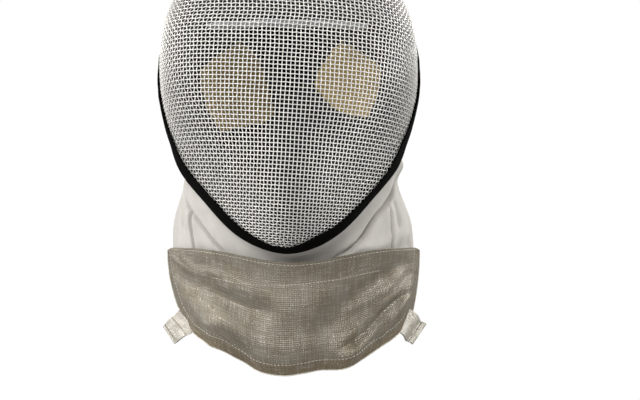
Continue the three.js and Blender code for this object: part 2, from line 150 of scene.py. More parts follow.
class Effects:
    """Shader node groups that the finishes share, each made once."""

    PATCH_CONTRAST = 2.4
    THREAD_CONTRAST = 2.6
    LOW_THREAD = 0.25

    @staticmethod
    def _group(name: str, inputs: tuple[str, ...], outputs: tuple[str, ...]) -> tuple[Graph, dict, dict]:
        """Starts a group.

        Args:
            name: The group's name.
            inputs: Names of its value inputs, after Place.
            outputs: Names of its value outputs.

        Returns:
            The graph, its input sockets by name and its output sockets by name.
        """
        tree = bpy.data.node_groups.new(name, "ShaderNodeTree")
        graph = Graph(tree)
        tree.interface.new_socket("Place", in_out="INPUT", socket_type="NodeSocketVector")
        for key in inputs:
            tree.interface.new_socket(key, in_out="INPUT", socket_type="NodeSocketFloat")
        for key in outputs:
            tree.interface.new_socket(key, in_out="OUTPUT", socket_type="NodeSocketFloat")
        start = graph.add("NodeGroupInput")
        end = graph.add("NodeGroupOutput")
        return graph, start.outputs, end.inputs

    @staticmethod
    def _stretched(graph: Graph, noise: Socket, contrast: float) -> Socket:
        """Noise drawn apart about its middle and held between 0 and 1."""
        spread = graph.math("MULTIPLY", graph.math("SUBTRACT", noise, 0.5), contrast)
        return graph.math("ADD", spread, 0.5, clamp=True)

    @classmethod
    @cache
    def weave(cls) -> bpy.types.NodeTree:
        """Plain weave over two crossing sets of threads.

        Returns:
            The group, with Height across the threads and Over, 1 where the lengthwise thread is on top.
        """
        graph, given, put = cls._group("cloth_weave", ("Threads",), ("Height", "Over"))
        scaled = graph.add("VectorMath", {0: given["Place"], 3: given["Threads"]}, operation="SCALE")
        parts = graph.add("SeparateXYZ", {0: scaled.outputs[0]})
        ridges = []
        counts = []
        for axis in (0, 1):
            turned = graph.math("MULTIPLY", parts.outputs[axis], math.pi)
            ridges.append(graph.math("ABSOLUTE", graph.math("SINE", turned)))
            counts.append(graph.math("FLOOR", parts.outputs[axis]))
        over = graph.math("FLOORED_MODULO", graph.math("ADD", *counts), 2.0)
        under = graph.math("SUBTRACT", 1.0, over)
        first = graph.math("MULTIPLY", graph.math("MULTIPLY", ridges[0], over), ridges[1])
        second = graph.math("MULTIPLY", graph.math("MULTIPLY", ridges[1], under), ridges[0])
        low = graph.math("MULTIPLY", graph.math("ADD", *ridges), cls.LOW_THREAD)
        height = graph.math("ADD", graph.math("MAXIMUM", first, second), low)
        graph.tree.links.new(height, put["Height"])
        graph.tree.links.new(over, put["Over"])
        return graph.tree

    @classmethod
    @cache
    def mottle(cls) -> bpy.types.NodeTree:
        """Soft patches and fine grain.

        Returns:
            The group, with Patch from 0 to 1 and Grain, a fine height.
        """
        graph, given, put = cls._group("soft_mottle", ("Patches", "Grains"), ("Patch", "Grain"))
        broad = graph.add("TexNoise", {"Vector": given["Place"], "Scale": given["Patches"], "Detail": 3.0})
        fine = graph.add("TexNoise", {"Vector": given["Place"], "Scale": given["Grains"], "Detail": 2.0})
        patch = cls._stretched(graph, broad.outputs[0], cls.PATCH_CONTRAST)
        graph.tree.links.new(patch, put["Patch"])
        graph.tree.links.new(fine.outputs[0], put["Grain"])
        return graph.tree

    @classmethod
    @cache
    def slub(cls) -> bpy.types.NodeTree:
        """Uneven threads, each lighter and darker along its length.

        Returns:
            The group, with Level and Upright from 0 to 1 for the threads of each direction.
        """
        graph, given, put = cls._group("uneven_threads", ("Threads", "Lengths"), ("Level", "Upright"))
        for name, order in (("Level", ("Lengths", "Threads")), ("Upright", ("Threads", "Lengths"))):
            scale = graph.add("CombineXYZ", {0: given[order[0]], 1: given[order[1]]})
            place = graph.add("VectorMath", {0: given["Place"], 1: scale.outputs[0]}, operation="MULTIPLY")
            noise = graph.add("TexNoise", {"Vector": place.outputs[0], "Scale": 1.0, "Detail": 2.0})
            uneven = cls._stretched(graph, noise.outputs[0], cls.THREAD_CONTRAST)
            graph.tree.links.new(uneven, put[name])
        return graph.tree

    @classmethod
    @cache
    def glints(cls) -> bpy.types.NodeTree:
        """Painted glints: scattered bright flecks where metal threads catch the light.

        Returns:
            The group, with Fleck from 0 to 1.
        """
        graph, given, put = cls._group("painted_glints", ("Flecks", "Share"), ("Fleck",))
        cells = graph.add("TexVoronoi", {"Vector": given["Place"], "Scale": given["Flecks"]}, feature="F1")
        lot = graph.add("SeparateColor", {0: cells.outputs["Color"]}).outputs[0]
        over = graph.math("SUBTRACT", lot, graph.math("SUBTRACT", 1.0, given["Share"]))
        graph.tree.links.new(graph.math("DIVIDE", over, given["Share"], clamp=True), put["Fleck"])
        return graph.tree

    @classmethod
    @cache
    def hem(cls) -> bpy.types.NodeTree:
        """Painted shade along the foot of a cloth, darker where the turned-up hem faces down.

        Returns:
            The group, with Band, 0 above the edge and 1 on it.
        """
        graph, given, put = cls._group("painted_hem_shade", ("Start", "Soft"), ("Band",))
        drop = graph.add("SeparateXYZ", {0: given["Place"]}).outputs[1]
        past = graph.math("SUBTRACT", drop, given["Start"])
        graph.tree.links.new(graph.math("DIVIDE", past, given["Soft"], clamp=True), put["Band"])
        return graph.tree


@dataclass(frozen=True)
class Finish:
    """One surface finish: a two-tone mottle, and where it has them painted hem shade, a shaded weave, slubs
    and painted glints.
    """

    name: str
    slot: Slot
    light: Color
    dark: Color
    roughness: float
    metallic: float = 0.0
    place: Place = Place.SOLID
    patches: float = 40.0
    grains: float = 900.0
    grain_bump: float = 0.15
    threads: float = 0.0
    thread_bump: float = 0.0
    thread_shade: float = 0.0
    slub: float = 0.0
    slub_threads: float = 1100.0
    slub_lengths: float = 45.0
    slub_low: float = 1.3
    slub_high: float = 1.1
    slub_bump: float = 0.5
    # Painted glints: flecks per metre and their share; their colour also lifts the thick stretches of uneven
    # threads.
    glints: float = 0.0
    glint_share: float = 0.08
    glint_and_slub_color: Color = (0.9, 0.88, 0.82)
    # Painted shade along the hem: where the band starts, how soft its top is, its colour and how patchy it
    # is.
    hem_start: float = 0.0
    hem_soft: float = 5 * MM
    hem_shade_color: Color = (0.205, 0.152, 0.085)
    hem_least: float = 0.35
    hem_range: float = 0.6
    deep: float = 0.45
    sheen: float = 0.0
    specular: float = 0.5
    rough_range: float = 0.08
    bump_distance: float = 0.4 * MM

    def make(self) -> bpy.types.Material:
        """Makes the material, or finds it if it is there.

        Returns:
            The material.
        """
        if self.name in bpy.data.materials:
            return bpy.data.materials[self.name]
        material = bpy.data.materials.new(self.name)
        material.use_nodes = True
        graph = Graph(material.node_tree)
        place = graph.add("TexCoord").outputs[self.place.value]
        mottle = self._placed(graph, Effects.mottle(), place, Patches=self.patches, Grains=self.grains)
        patch = mottle.outputs["Patch"]
        color = graph.mix(patch, self.dark, self.light)
        height = graph.math("MULTIPLY", mottle.outputs["Grain"], self.grain_bump)
        # Painted shade: a patchy brown darkening along the hem, where the turned-up edge faces down.
        if self.hem_start:
            hem = self._placed(graph, Effects.hem(), place, Start=self.hem_start, Soft=self.hem_soft)
            uneven = graph.math("ADD", graph.math("MULTIPLY", patch, self.hem_range), self.hem_least)
            color = graph.mix(graph.math("MULTIPLY", hem.outputs["Band"], uneven), color, self.hem_shade_color)
        if self.threads:
            weave = self._placed(graph, Effects.weave(), place, Threads=self.threads)
            # Darker where the lengthwise thread is on top; the hollows between threads get painted shade.
            tone = graph.math("MULTIPLY", weave.outputs["Over"], self.thread_shade)
            gap = graph.math("SUBTRACT", 1.0, weave.outputs["Height"], clamp=True)
            shade = graph.math("ADD", tone, graph.math("MULTIPLY", gap, self.thread_shade), clamp=True)
            color = graph.mix(shade, color, self._hollow_shade_and_thin_threads())
            ridge = graph.math("MULTIPLY", weave.outputs["Height"], self.thread_bump)
            height = graph.math("ADD", height, ridge)
        if self.slub:
            sizes = {"Threads": self.slub_threads, "Lengths": self.slub_lengths}
            slub = self._placed(graph, Effects.slub(), place, **sizes)
            both = graph.math("ADD", slub.outputs["Level"], slub.outputs["Upright"])
            thin = graph.math("SUBTRACT", self.slub_low, both, clamp=True)
            color = graph.mix(graph.math("MULTIPLY", thin, self.slub), color, self._hollow_shade_and_thin_threads())
            thick = graph.math("SUBTRACT", both, self.slub_high, clamp=True)
            color = graph.mix(graph.math("MULTIPLY", thick, self.slub), color, self.glint_and_slub_color)
            height = graph.math("ADD", height, graph.math("MULTIPLY", both, self.slub_bump * self.slub))
        # Painted glints: bright flecks laid into the colour.
        if self.glints:
            fleck = self._placed(graph, Effects.glints(), place, Flecks=self.glints, Share=self.glint_share)
            color = graph.mix(fleck.outputs["Fleck"], color, self.glint_and_slub_color)
        spread = graph.math("MULTIPLY", graph.math("SUBTRACT", patch, 0.5), self.rough_range)
        rough = graph.math("ADD", spread, self.roughness, clamp=True)
        bump = graph.add("Bump", {"Strength": 1.0, "Distance": self.bump_distance, "Height": height})
        shader = graph.add(
            "BsdfPrincipled",
            {"Base Color": color, "Roughness": rough, "Metallic": self.metallic, "Normal": bump.outputs[0]},
        )
        shader.inputs["Sheen Weight"].default_value = self.sheen
        shader.inputs["Specular IOR Level"].default_value = self.specular
        graph.add("OutputMaterial", {"Surface": shader.outputs[0]})
        return material

    def _hollow_shade_and_thin_threads(self) -> Color:
        """The painted shade colour of the hollows between threads, also laid on the thin stretches of uneven
        threads.
        """
        return tuple(self.deep * part for part in self.dark)

    @staticmethod
    def _placed(graph: Graph, group: bpy.types.NodeTree, place: Socket, **values: float) -> bpy.types.Node:
        """Places a group in a material.

        Args:
            graph: The material's graph.
            group: The node group.
            place: Socket of the coordinates.
            values: Input name to number.

        Returns:
            The group's node.
        """
        return graph.add("Group", {"Place": place, **values}, node_tree=group)


STEEL = Finish(
    "tinned_wire",
    Slot.WIRE,
    (0.92, 0.90, 0.855),
    (0.78, 0.76, 0.72),
    0.42,
    metallic=0.3,
    patches=160,
    grains=2500,
)
VINYL = Finish(
    "black_binding",
    Slot.VINYL,
    (0.0018, 0.0018, 0.0014),
    (0.0012, 0.0012, 0.001),
    0.7,
    patches=90,
    grains=1500,
    specular=0.03,
)
DRILL = Finish(
    "white_drill",
    Slot.BIB,
    (0.55, 0.527, 0.49),
    (0.47, 0.447, 0.41),
    0.9,
    place=Place.CLOTH,
    patches=60,
    threads=1500,
    grains=900,
    grain_bump=0.8,
    thread_bump=0.12,
    thread_shade=0.06,
    sheen=0.15,
    specular=0.2,
)
LAME = Finish(
    "metal_cloth",
    Slot.LAME,
    (0.248, 0.227, 0.185),
    (0.19, 0.156, 0.107),
    0.42,
    metallic=0.5,
    place=Place.CLOTH,
    patches=55,
    grains=1800,
    grain_bump=0.2,
    threads=720,
    thread_bump=0.3,
    thread_shade=0.22,
    slub=0.25,
    slub_threads=1250,
    slub_lengths=60,
    glints=2600,
    glint_share=0.004,
    # Painted shade band along the hem from here down.
    hem_start=71 * MM,
)
TAB = Finish(
    "tab_cloth_light",
    Slot.TAB,
    (0.76, 0.72, 0.64),
    (0.48, 0.44, 0.37),
    0.4,
    metallic=0.5,
    place=Place.CLOTH,
    patches=120,
    threads=1250,
    thread_bump=0.3,
    thread_shade=0.2,
    slub=0.4,
)
THREAD = Finish(
    "pale_thread",
    Slot.LAME,
    (0.68, 0.64, 0.56),
    (0.38, 0.35, 0.29),
    0.5,
    metallic=0.2,
    patches=700,
)
TAB_THREAD = Finish("tab_thread", Slot.TAB, (0.16, 0.145, 0.12), (0.09, 0.08, 0.065), 0.7, patches=300)
JERSEY = Finish(
    "liner_jersey",
    Slot.LINER,
    (0.03, 0.03, 0.032),
    (0.02, 0.02, 0.022),
    0.95,
    grains=1400,
    grain_bump=0.5,
    specular=0.15,
)
# Black jersey for the back pad, which also stands for the shade inside the open back.
PAD = replace(JERSEY, name="dark_pad_standing_for_shade", slot=Slot.PAD)
TAPE = Finish(
    "grey_tape",
    Slot.TAPE,
    (0.36, 0.37, 0.385),
    (0.27, 0.28, 0.295),
    0.85,
    patches=120,
    grains=1800,
    grain_bump=0.4,
)
TONGUE = Finish(
    "tongue_cover",
    Slot.TONGUE,
    (0.008, 0.008, 0.009),
    (0.004, 0.004, 0.005),
    0.9,
    grains=1600,
    grain_bump=0.4,
    specular=0.1,
)
CUSHION = Finish(
    "tan_cushion",
    Slot.CUSHION,
    (0.57, 0.42, 0.155),
    (0.47, 0.345, 0.125),
    0.9,
    patches=70,
    grains=1200,
    grain_bump=0.5,
)


def unit(vectors: np.ndarray) -> np.ndarray:
    """Vectors scaled to length one."""
    return vectors / np.maximum(np.linalg.norm(vectors, axis=-1, keepdims=True), TINY)


def smooth_column(keys: np.ndarray, values: np.ndarray, at: np.ndarray) -> np.ndarray:
    """A smooth curve through the rows of a table.

    Args:
        keys: Rising places of the rows.
        values: What the rows hold, one row each.
        at: Places to read.

    Returns:
        The values there.
    """
    last = len(keys) - 1
    before = np.maximum(np.arange(last + 1) - 1, 0)
    after = np.minimum(np.arange(last + 1) + 1, last)
    slopes = (values[after] - values[before]) / (keys[after] - keys[before])
    i = np.clip(np.searchsorted(keys, at) - 1, 0, last - 1)
    span = keys[i + 1] - keys[i]
    s = (at - keys[i]) / span
    return (
        (2 * s**3 - 3 * s**2 + 1) * values[i]
        + (s**3 - 2 * s**2 + s) * span * slopes[i]
        + (3 * s**2 - 2 * s**3) * values[i + 1]
        + (s**3 - s**2) * span * slopes[i + 1]
    )


def smooth_step(value: np.ndarray, low: float, high: float) -> np.ndarray:
    """0 below low, 1 above high and a smooth rise between."""
    s = np.clip((value - low) / (high - low), 0, 1)
    return s * s * (3 - 2 * s)


def edged(count: int) -> np.ndarray:
    """Shares from 0 to 1, evenly in the middle and close together at both ends.

    Args:
        count: How many even steps the middle has.

    Returns:
        The shares.
    """
    ends = np.array(EDGE_SHARES)
    return np.concatenate([ends, np.linspace(EVEN_FROM, 1 - EVEN_FROM, count), 1 - ends[::-1]])


def run_of(line: np.ndarray) -> np.ndarray:
    """Length along a line up to each of its points."""
    return np.concatenate([[0], np.cumsum(np.linalg.norm(np.diff(line, axis=0), axis=1))])


def read_along(rows: np.ndarray, run: np.ndarray, at: np.ndarray) -> np.ndarray:
    """Points or directions of a line, read at the given lengths along it."""
    return np.stack([np.interp(at, run, rows[:, k]) for k in range(3)], -1)


def table(kind: type, plain: int, *rows: tuple) -> tuple:
    """Rows of a table whose lengths are in millimetres.

    Args:
        kind: What each row makes.
        plain: How many of a row's first values aren't lengths.
        rows: The rows.

    Returns:
        What they make.
    """
    return tuple(kind(*row[:plain], *(size * MM for size in row[plain:])) for row in rows)


def add_object(name: str, data: bpy.types.ID) -> bpy.types.Object:
    """Adds an object to the scene.

    Args:
        name: Its name.
        data: Its mesh, camera or light.

    Returns:
        The object.
    """
    obj = bpy.data.objects.new(name, data)
    bpy.context.scene.collection.objects.link(obj)
    return obj


@dataclass(frozen=True)
class Thread:
    """Sizes of a row of stitches.

    Rises are a stitch's heights along its length, in radii, below 0 where it dips into the cloth.
    """

    radius: float = 0.22 * MM
    stitch: float = 2.0 * MM
    pitch: float = 2.9 * MM
    rises: tuple[float, ...] = (-0.9, 0.35, 0.75, 0.35, -0.9)


class MeshStock:
    """Vertices and quads collected for one piece."""

    def __init__(self) -> None:
        """Starts with nothing."""
        self.points: list[np.ndarray] = []
        self.quads: list[np.ndarray] = []
        self.cloth: list[np.ndarray] = []
        self.count = 0

    def take(self, points: np.ndarray, quads: np.ndarray, cloth: np.ndarray | None = None) -> None:
        """Adds a part.

        Args:
            points: Its vertices.
            quads: Its faces, counted from its own first vertex.
            cloth: Flat cloth coordinates of its vertices, if it has them.
        """
        self.points.append(points)
        self.quads.append(quads + self.count)
        self.cloth.append(np.zeros((len(points), 2)) if cloth is None else cloth)
        self.count += len(points)

    def tube(self, line: np.ndarray, facing: np.ndarray, radius: float, sides: int = 6) -> None:
        """Adds a closed round wire or thread.

        Args:
            line: Its centre line.
            facing: A direction across it at each point.
            radius: Its radius.
            sides: How many sides its section has, an even number.
        """
        along = unit(np.gradient(line, axis=0))
        across = unit(np.cross(along, facing))
        out = np.cross(across, along)
        turn = np.linspace(0, 2 * math.pi, sides, endpoint=False)[None, :, None]
        rings = line[:, None] + radius * (np.cos(turn) * out[:, None] + np.sin(turn) * across[:, None])
        index = np.arange(len(line) * sides).reshape(len(line), sides)
        after = np.roll(index, -1, axis=1)
        wall = np.stack([index[:-1], after[:-1], after[1:], index[1:]], -1).reshape(-1, 4)
        fan = np.array([[0, k, k + 1, k + 2] for k in range(1, sides - 2, 2)])
        caps = np.concatenate([index[0][fan][:, ::-1], index[-1][fan]])
        self.take(rings.reshape(-1, 3), np.concatenate([wall, caps]))

    def shell(self, front: np.ndarray, wall: np.ndarray | float, cloth: np.ndarray) -> None:
        """Adds a closed cloth wall behind a grid of points.

        Args:
            front: Its outer face, rows downward and columns to the right.
            wall: Its thickness, one number or one for each point.
            cloth: Flat coordinates of the grid.
        """
        rows, columns = front.shape[:2]
        back = front - grid_normals(front) * np.broadcast_to(wall, (rows, columns))[..., None]
        index = np.arange(rows * columns).reshape(rows, columns)
        hind = index + rows * columns
        face = np.stack([index[:-1, :-1], index[1:, :-1], index[1:, 1:], index[:-1, 1:]], -1)
        rear = np.stack([hind[:-1, :-1], hind[:-1, 1:], hind[1:, 1:], hind[1:, :-1]], -1)
        rims = [
            np.stack([index[0, :-1], index[0, 1:], hind[0, 1:], hind[0, :-1]], -1),
            np.stack([index[-1, 1:], index[-1, :-1], hind[-1, :-1], hind[-1, 1:]], -1),
            np.stack([index[1:, 0], index[:-1, 0], hind[:-1, 0], hind[1:, 0]], -1),
            np.stack([index[:-1, -1], index[1:, -1], hind[1:, -1], hind[:-1, -1]], -1),
        ]
        quads = np.concatenate([face.reshape(-1, 4), rear.reshape(-1, 4), *rims])
        points = np.concatenate([front.reshape(-1, 3), back.reshape(-1, 3)])
        flat = cloth.reshape(-1, 2)
        self.take(points, quads, np.concatenate([flat, flat]))

    def stitches(self, line: np.ndarray, facing: np.ndarray, thread: Thread) -> None:
        """Adds a row of stitches that dip into the cloth at both ends.

        Args:
            line: The seam, as close points on the cloth.
            facing: The cloth's outward normals there.
            thread: The thread's sizes.
        """
        run = run_of(line)
        shares = np.linspace(0, 1, len(thread.rises))
        rise = thread.radius * np.array(thread.rises)
        for start in np.arange(0, run[-1] - thread.stitch, thread.pitch):
            at = start + shares * thread.stitch
            normals = unit(read_along(facing, run, at))
            self.tube(read_along(line, run, at) + normals * rise[:, None], normals, thread.radius)

    def piece(self, name: str, finish: Finish) -> bpy.types.Object:
        """Makes the piece, dresses it and lets it ride on the mask.

        Args:
            name: The piece's name.
            finish: Its finish.

        Returns:
            The object.
        """
        points = np.concatenate(self.points)
        quads = np.concatenate(self.quads)
        mesh = bpy.data.meshes.new(name)
        mesh.vertices.add(len(points))
        mesh.vertices.foreach_set("co", points.astype(np.float32).ravel())
        mesh.loops.add(quads.size)
        mesh.loops.foreach_set("vertex_index", quads.astype(np.int32).ravel())
        mesh.polygons.add(len(quads))
        mesh.polygons.foreach_set("loop_start", np.arange(0, quads.size, 4, dtype=np.int32))
        mesh.polygons.foreach_set("use_smooth", np.ones(len(quads), bool))
        layer = mesh.uv_layers.new(name="cloth")
        flat = np.concatenate(self.cloth)[quads.ravel()]
        layer.data.foreach_set("uv", flat.astype(np.float32).ravel())
        mesh.update(calc_edges=True)
        mesh.validate()
        return dress(add_object(name, mesh), finish)


def dress(obj: bpy.types.Object, finish: Finish) -> bpy.types.Object:
    """Gives a piece its finish and lets it ride on the mask.

    Args:
        obj: The piece.
        finish: Its finish.

    Returns:
        The piece.
    """
    obj.data.materials.clear()
    obj.data.materials.append(finish.make())
    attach(obj, BODY)
    LOG.info("%s: %d faces", obj.name, len(obj.data.polygons))
    return obj


def grid_normals(points: np.ndarray) -> np.ndarray:
    """Outward normals of a grid of points, rows downward and columns to the right."""
    return unit(np.cross(np.gradient(points, axis=0), np.gradient(points, axis=1)))


@dataclass(frozen=True)
class Fold:
    """A ridge or valley along a line on cloth.

    Across runs from -1 at the left edge to 1 at the right, down from 0 at the top to 1 at the hem.
    """

    across1: float
    down1: float
    across2: float
    down2: float
    width: float
    rise: float

    def shift(self, across: np.ndarray, down: np.ndarray, half: float, height: float) -> np.ndarray:
        """How far the fold lifts the cloth.

        Args:
            across: Places across the cloth.
            down: Places down the cloth.
            half: Half the cloth's width.
            height: The cloth's height.

        Returns:
            The lift at each place.
        """
        start = np.array([self.across1 * half, self.down1 * height])
        line = np.array([self.across2 * half, self.down2 * height]) - start
        place = np.stack([across * half, down * height], -1) - start
        share = np.clip(place @ line / (line @ line), 0, 1)
        gap = np.linalg.norm(place - share[..., None] * line, axis=-1)
        return self.rise * np.exp(-((gap / self.width) ** 2))


@dataclass(frozen=True)
class Crease:
    """A line on cloth with a groove along it, a ridge where the groove is negative, and swells beside it.

    The line's rows are places across and down, from left to right. Above and below are the swells' heights,
    reach is the distance at which they are highest and fade the share of the line that each end takes.
    """

    line: Line
    groove: float
    width: float
    above: float = 0.0
    below: float = 0.0
    reach: float = 8 * MM
    fade: float = 0.2

    def shift(self, across: np.ndarray, down: np.ndarray, half: float, height: float) -> np.ndarray:
        """How far the crease lifts the cloth.

        Args:
            across: Places across the cloth.
            down: Places down the cloth.
            half: Half the cloth's width.
            height: The cloth's height.

        Returns:
            The lift at each place.
        """
        rows = np.array(self.line) * [half, height]
        steps = np.diff(rows, axis=0)
        runs = run_of(rows)
        place = np.stack([across * half, down * height], -1)
        gap = np.full(across.shape, np.inf)
        side = np.zeros(across.shape)
        run = np.zeros(across.shape)
        for start, step, before in zip(rows, steps, runs):
            off = place - start
            share = np.clip(off @ step / (step @ step), 0, 1)
            away = np.linalg.norm(off - share[..., None] * step, axis=-1)
            near = away < gap
            gap = np.where(near, away, gap)
            side = np.where(near, step[0] * off[..., 1] - step[1] * off[..., 0], side)
            run = np.where(near, before + share * np.linalg.norm(step), run)
        share = run / runs[-1]
        ends = smooth_step(share, 0, self.fade) * smooth_step(1 - share, 0, self.fade)
        swell = np.where(side > 0, self.below, self.above) * (gap / self.reach) * np.exp(1 - gap / self.reach)
        return ends * (swell - self.groove * np.exp(-((gap / self.width) ** 2)))


class DomeSkin:
    """Outer skin of the wire dome and its rim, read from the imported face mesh."""

    SHARP = math.radians(60)
    WELD = 1e-6
    ON_PLANE = 1e-8

    def __init__(self, node: bpy.types.Object) -> None:
        """Reads the skin.

        Args:
            node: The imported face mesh.
        """
        self.skin = self._outer(node)
        self.tree = BVHTree.FromBMesh(self.skin)
        self.rim, self.rim_normals = self._rim()
        following = np.roll(self.rim, -1, 0) - np.roll(self.rim, 1, 0)
        self.rim_edge = unit(np.cross(unit(following), self.rim_normals))
        inward = np.array([0.0, FACE_PLANE, self.rim[:, 2].mean()]) - self.rim
        if (self.rim_edge * inward).sum() > 0:
            self.rim_edge = -self.rim_edge

    def _outer(self, node: bpy.types.Object) -> bmesh.types.BMesh:
        """The largest sheet of a node once it is cut along its sharp edges.

        Args:
            node: The node.

        Returns:
            The sheet.
        """
        skin = bmesh.new()
        skin.from_mesh(node.data)
        bmesh.ops.remove_doubles(skin, verts=skin.verts, dist=self.WELD)
        sharp = [e for e in skin.edges if len(e.link_faces) == 2 and e.calc_face_angle() > self.SHARP]
        bmesh.ops.split_edges(skin, edges=sharp)
        left = set(skin.faces)
        sheets = []
        while left:
            waiting = [left.pop()]
            sheet = set(waiting)
            while waiting:
                for edge in waiting.pop().edges:
                    for face in edge.link_faces:
                        if face in left:
                            left.remove(face)
                            sheet.add(face)
                            waiting.append(face)
            sheets.append(sheet)
        outer = max(sheets, key=lambda faces: sum(face.calc_area() for face in faces))
        bmesh.ops.delete(skin, geom=[face for face in skin.faces if face not in outer], context="FACES")
        skin.normal_update()
        return skin

    def _rim(self) -> tuple[np.ndarray, np.ndarray]:
        """Follows the rim from the chin up the right side and round.

        Returns:
            Its points and outward normals.
        """
        beside = defaultdict(list)
        for edge in self.skin.edges:
            if edge.is_boundary:
                for vert in edge.verts:
                    beside[vert].append(edge.other_vert(vert))
        chin = min(beside, key=lambda vert: vert.co.z)
        loop = [chin, max(beside[chin], key=lambda vert: vert.co.x)]
        while True:
            after = [vert for vert in beside[loop[-1]] if vert is not loop[-2]][0]
            if after is chin:
                break
            loop.append(after)
        return np.array([vert.co for vert in loop]), np.array([vert.normal for vert in loop])

    def rim_at(self, turn: np.ndarray) -> tuple[np.ndarray, np.ndarray, np.ndarray]:
        """The rim read smoothly between its points.

        Args:
            turn: Shares of the way round from the chin.

        Returns:
            Points, outward normals, and directions past the edge.
        """
        count = len(self.rim)
        place = np.mod(turn, 1.0) * count
        i = np.floor(place).astype(int)
        s = (place - i)[..., None]
        found = []
        for rows in (self.rim, self.rim_normals, self.rim_edge):
            a, b, c, d = (rows[(i + k) % count] for k in (-1, 0, 1, 2))
            found.append(b + 0.5 * s * (c - a + s * (2 * a - 5 * b + 4 * c - d + s * (3 * (b - c) + d - a))))
        return found[0], unit(found[1]), unit(found[2])

    def cut(self, place: np.ndarray, normal: np.ndarray) -> np.ndarray:
        """The line where a plane cuts the skin.

        Args:
            place: A point of the plane, near the wanted line.
            normal: The plane's normal.

        Returns:
            The line's points in order.
        """
        work = self.skin.copy()
        everything = [*work.verts, *work.edges, *work.faces]
        made = bmesh.ops.bisect_plane(
            work, geom=everything, dist=self.ON_PLANE, plane_co=place, plane_no=normal
        )
        beside = defaultdict(list)
        for part in made["geom_cut"]:
            if isinstance(part, bmesh.types.BMEdge):
                for vert in part.verts:
                    beside[vert].append(part.other_vert(vert))
        best, nearest = np.zeros((0, 3)), math.inf
        for end in [vert for vert in beside if len(beside[vert]) == 1]:
            chain, last = [end], None
            while True:
                after = [vert for vert in beside[chain[-1]] if vert is not last]
                if not after:
                    break
                last = chain[-1]
                chain.append(after[0])
            points = np.array([vert.co for vert in chain])
            gap = np.linalg.norm(points - place, axis=1).min()
            if gap < nearest - TINY:
                best, nearest = points, gap
        work.free()
        return best


